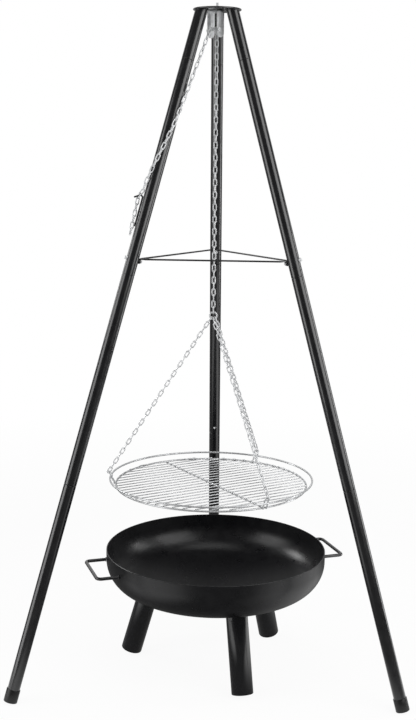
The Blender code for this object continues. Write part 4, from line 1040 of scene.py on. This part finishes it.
def bowl_profile(grow):
    """The bowl's outside, grown outward: straight flange, knuckle and crown, from rim to middle."""
    knuckle_middle = BOWL_RADIUS - BOWL_KNUCKLE
    knuckle_z = BOWL_RIM_Z - BOWL_FLANGE
    crown_z = knuckle_z + math.sqrt((BOWL_CROWN - BOWL_KNUCKLE) ** 2 - knuckle_middle ** 2)
    meeting = math.atan2(knuckle_z - crown_z, knuckle_middle)
    points = [(BOWL_RADIUS + grow, BOWL_RIM_Z)]
    radius = BOWL_KNUCKLE + grow
    for step in range(KNUCKLE_STEPS + 1):
        angle = meeting * step / KNUCKLE_STEPS
        points.append((knuckle_middle + radius * math.cos(angle), knuckle_z + radius * math.sin(angle)))
    radius = BOWL_CROWN + grow
    for step in range(1, CROWN_STEPS + 1):
        angle = meeting + (-math.pi / 2 - meeting) * step / CROWN_STEPS
        points.append((max(radius * math.cos(angle), 0.0), crown_z + radius * math.sin(angle)))
    points[-1] = (0.0, points[-1][1])
    return points


def draw_bowl(finish):
    """The dished fire bowl, its two handles and its three splayed tube legs."""
    place = Matrix.Translation(BOWL_CENTRE)
    inner = BOWL_RADIUS - BOWL_WALL
    lip_z = BOWL_RIM_Z - BOWL_LIP
    lip = [(BOWL_RADIUS, lip_z), (BOWL_RADIUS - BOWL_LIP, BOWL_RIM_Z), (inner + BOWL_LIP, BOWL_RIM_Z),
           (inner, lip_z)]
    profile = bowl_profile(0.0)[:0:-1] + lip + bowl_profile(-BOWL_WALL)[1:]
    piece("bowl", lathe(profile, BOWL_SIDES, place, False), finish["bowl"], ["fire_bowl"], crease=BOWL_CREASE)
    for side, azimuth_deg in HANDLE_AZIMUTHS.items():
        handle = handle_shape(math.radians(azimuth_deg))
        piece("handle_" + side, handle, finish["tube"], ["bowl_handle_" + side])
    for side, azimuth_deg in BOWL_LEG_AZIMUTHS.items():
        leg = bowl_leg_shape(math.radians(azimuth_deg), place)
        piece("bowl_foot_" + side, leg, finish["gloss"], ["bowl_leg_" + side])


def handle_shape(azimuth):
    """A bent rod with its two ends welded to the bowl's wall."""
    outward = polar(1.0, azimuth)
    sideways = polar(1.0, azimuth + math.pi / 2)
    wall = math.sqrt(BOWL_RADIUS ** 2 - HANDLE_HALF_WIDTH ** 2)
    level = BOWL_CENTRE + UP * (BOWL_RIM_Z - HANDLE_BELOW_RIM)
    corners = []
    for out in (wall + HANDLE_ROOT_OUT, wall + HANDLE_REACH):
        corners.append([level + outward * out + sideways * HANDLE_HALF_WIDTH * way for way in (-1, 1)])
    roots, bends = corners
    path = rounded([roots[0], bends[0], bends[1], roots[1]], HANDLE_BEND, HANDLE_BEND_STEPS)
    shapes = [rod(path, HANDLE_ROD_RADIUS)]
    for root in roots:
        shapes.append(handle_weld(root, (root - level).normalized()))
    return joined(shapes)


def handle_weld(root, outward):
    """The bead round a handle's end, on the bowl's wall."""
    frame = axes(root + outward * BEAD_OUT, UP, outward)
    turns = [math.tau * step / HANDLE_BEAD_STEPS for step in range(HANDLE_BEAD_STEPS)]
    points = [frame @ polar(HANDLE_ROD_RADIUS, turn) for turn in turns]
    return weld_bead(points, HANDLE_RIPPLE, HANDLE_RIPPLES)


def bowl_leg_shape(azimuth, place):
    """A splayed tube cut square at its foot and to the bowl's shape at its top."""
    outward = polar(1.0, azimuth)
    along = UP * math.cos(BOWL_LEG_SPLAY) - outward * math.sin(BOWL_LEG_SPLAY)
    foot = BOWL_CENTRE + outward * BOWL_LEG_FOOT_RADIUS + UP * BOWL_LEG_RADIUS * math.sin(BOWL_LEG_SPLAY)
    frame = axes(foot, outward, along)
    bore = BOWL_LEG_RADIUS - BOWL_LEG_WALL
    middle = BOWL_LEG_EDGE * EDGE_MIDDLE
    profile = [(bore, 0.0), (BOWL_LEG_RADIUS - BOWL_LEG_EDGE, 0.0), (BOWL_LEG_RADIUS - middle, middle),
               (BOWL_LEG_RADIUS, BOWL_LEG_EDGE), (BOWL_LEG_RADIUS, BOWL_RIM_Z), (bore, BOWL_RIM_Z)]
    leg = lathe(profile, BOWL_LEG_SIDES, frame)
    cutter_top = BOWL_RIM_Z + BOWL_CUTTER_RISE
    cutter = [(0.0, cutter_top), (BOWL_RADIUS, cutter_top)] + bowl_profile(SEAM_GAP)[1:]
    return cut(leg, lathe(cutter, BOWL_SIDES, place, False))


def ray_kinds(add):
    """Whether a ray comes from the camera, and whether it comes off or through something shiny."""
    ray = add("ShaderNodeLightPath")
    shine = combine(add, "MAXIMUM", ray.outputs["Is Glossy Ray"], ray.outputs["Is Transmission Ray"])
    return ray.outputs["Is Camera Ray"], shine


def make_stage():
    """A plain white floor that keeps a soft shadow and fades into the white behind it.

    Shiny surfaces mirror it with painted light: white in painted pools of light at given spots, and darker
    painted shade away from them.
    """
    bm = bmesh.new()
    bmesh.ops.create_grid(bm, x_segments=1, y_segments=1, size=FLOOR_SIZE)
    floor = placed("floor", new_shape(bm))
    material, tree, shader, add = new_material("white_floor")
    shader.inputs["Base Color"].default_value = FLOOR_COLOUR
    shader.inputs["Roughness"].default_value = FLOOR_ROUGHNESS
    camera, shine = ray_kinds(add)
    place = add("ShaderNodeTexCoord").outputs["Object"]
    away = combine(add, "LENGTH", place, kind="ShaderNodeVectorMath")
    fade = remap(add, away, FLOOR_FADE, (FLOOR_WHITE, 1.0))
    share = combine(add, "MULTIPLY_ADD", camera, fade, shine)
    # painted pools of light and painted shade, seen only in shiny surfaces as the floor's emission
    painted_pools = []
    for middle, reach in FLOOR_PAINTED_POOLS:
        apart = combine(add, "DISTANCE", place, middle, kind="ShaderNodeVectorMath")
        edge = (reach, reach * (1 - FLOOR_PAINTED_POOL_EDGE))
        painted_pools.append(remap(add, apart, edge, (0.0, 1.0), "SMOOTHSTEP"))
    painted_mirror = remap(add, combine(add, "MAXIMUM", *painted_pools), (0.0, 1.0), FLOOR_PAINTED_MIRROR)
    level = add("ShaderNodeMix", {"Factor": shine, "A": 1.0, "B": painted_mirror})
    white = add("ShaderNodeEmission", {"Color": WHITE, "Strength": level.outputs["Result"]})
    mixed = add("ShaderNodeMixShader", {0: share, 1: shader.outputs["BSDF"], 2: white.outputs["Emission"]})
    tree.links.new(mixed.outputs["Shader"], tree.nodes["Material Output"].inputs["Surface"])
    floor.data.materials.append(material)


def make_world():
    """White to the camera, and an even light from all round on surfaces without gloss.

    Shiny surfaces mirror a studio that is light behind the object and dark in front of it.
    """
    world = bpy.data.worlds.new("studio")
    bpy.context.scene.world = world
    world.use_nodes = True
    tree = world.node_tree
    background = tree.nodes["Background"]
    add = node_maker(tree)
    way = add("ShaderNodeSeparateXYZ", {"Vector": add("ShaderNodeTexCoord").outputs["Generated"]})
    behind = remap(add, way.outputs["Y"], BEHIND_EDGE, (FRONT_LEVEL, BEHIND_LEVEL), "SMOOTHSTEP")
    above = remap(add, way.outputs["Z"], TOP_EDGE, (1.0, TOP_LEVEL), "SMOOTHSTEP")
    studio = combine(add, "MULTIPLY", behind, above)
    camera, shine = ray_kinds(add)
    level = add("ShaderNodeMix", {"Factor": shine, "A": WORLD_LIGHT, "B": studio})
    strength = add("ShaderNodeMix", {"Factor": camera, "A": level.outputs["Result"], "B": 1.0})
    tree.links.new(strength.outputs["Result"], background.inputs["Strength"])
    background.inputs["Color"].default_value = WHITE


def make_lamp(name, place, target, width, height, radiance, spread):
    """A soft box pointed at a place on the object, with a grid where its spread is narrow."""
    light = bpy.data.lights.new(name, "AREA")
    light.shape = "RECTANGLE"
    light.size = width
    light.size_y = height
    light.energy = radiance * math.pi * width * height
    light.spread = math.radians(spread)
    back = Vector(place) - Vector(target)
    placed(name, light).matrix_world = axes(AXIS_PLACE + Vector(place), UP.cross(back), back)


def make_camera():
    """The photograph's viewpoint."""
    camera = bpy.data.cameras.new("camera")
    camera.sensor_fit = "VERTICAL"
    camera.sensor_height = SENSOR_HEIGHT
    camera.lens = FOCAL_PIXELS / IMAGE_HEIGHT * SENSOR_HEIGHT
    item = placed("camera", camera)
    flat_right = polar(1.0, CAMERA_YAW)
    flat_ahead = Vector((-flat_right.y, flat_right.x, 0.0))
    ahead = flat_ahead * math.cos(CAMERA_PITCH) + UP * math.sin(CAMERA_PITCH)
    level_up = flat_right.cross(ahead)
    right = flat_right * math.cos(CAMERA_ROLL) + level_up * math.sin(CAMERA_ROLL)
    item.matrix_world = axes(AXIS_PLACE + CAMERA_PLACE, right, -ahead)
    bpy.context.scene.camera = item


def main():
    """The stage, then every piece of the object."""
    bpy.context.scene.view_settings.view_transform = "Standard"
    make_camera()
    make_stage()
    make_world()
    for box in SOFT_BOXES:
        make_lamp(*box)
    finish = make_finishes()
    for draw in (draw_head, draw_legs, draw_spacers, draw_chain_to_leg, draw_hanging_chain, draw_grate,
                 draw_bowl):
        draw(finish)


main()
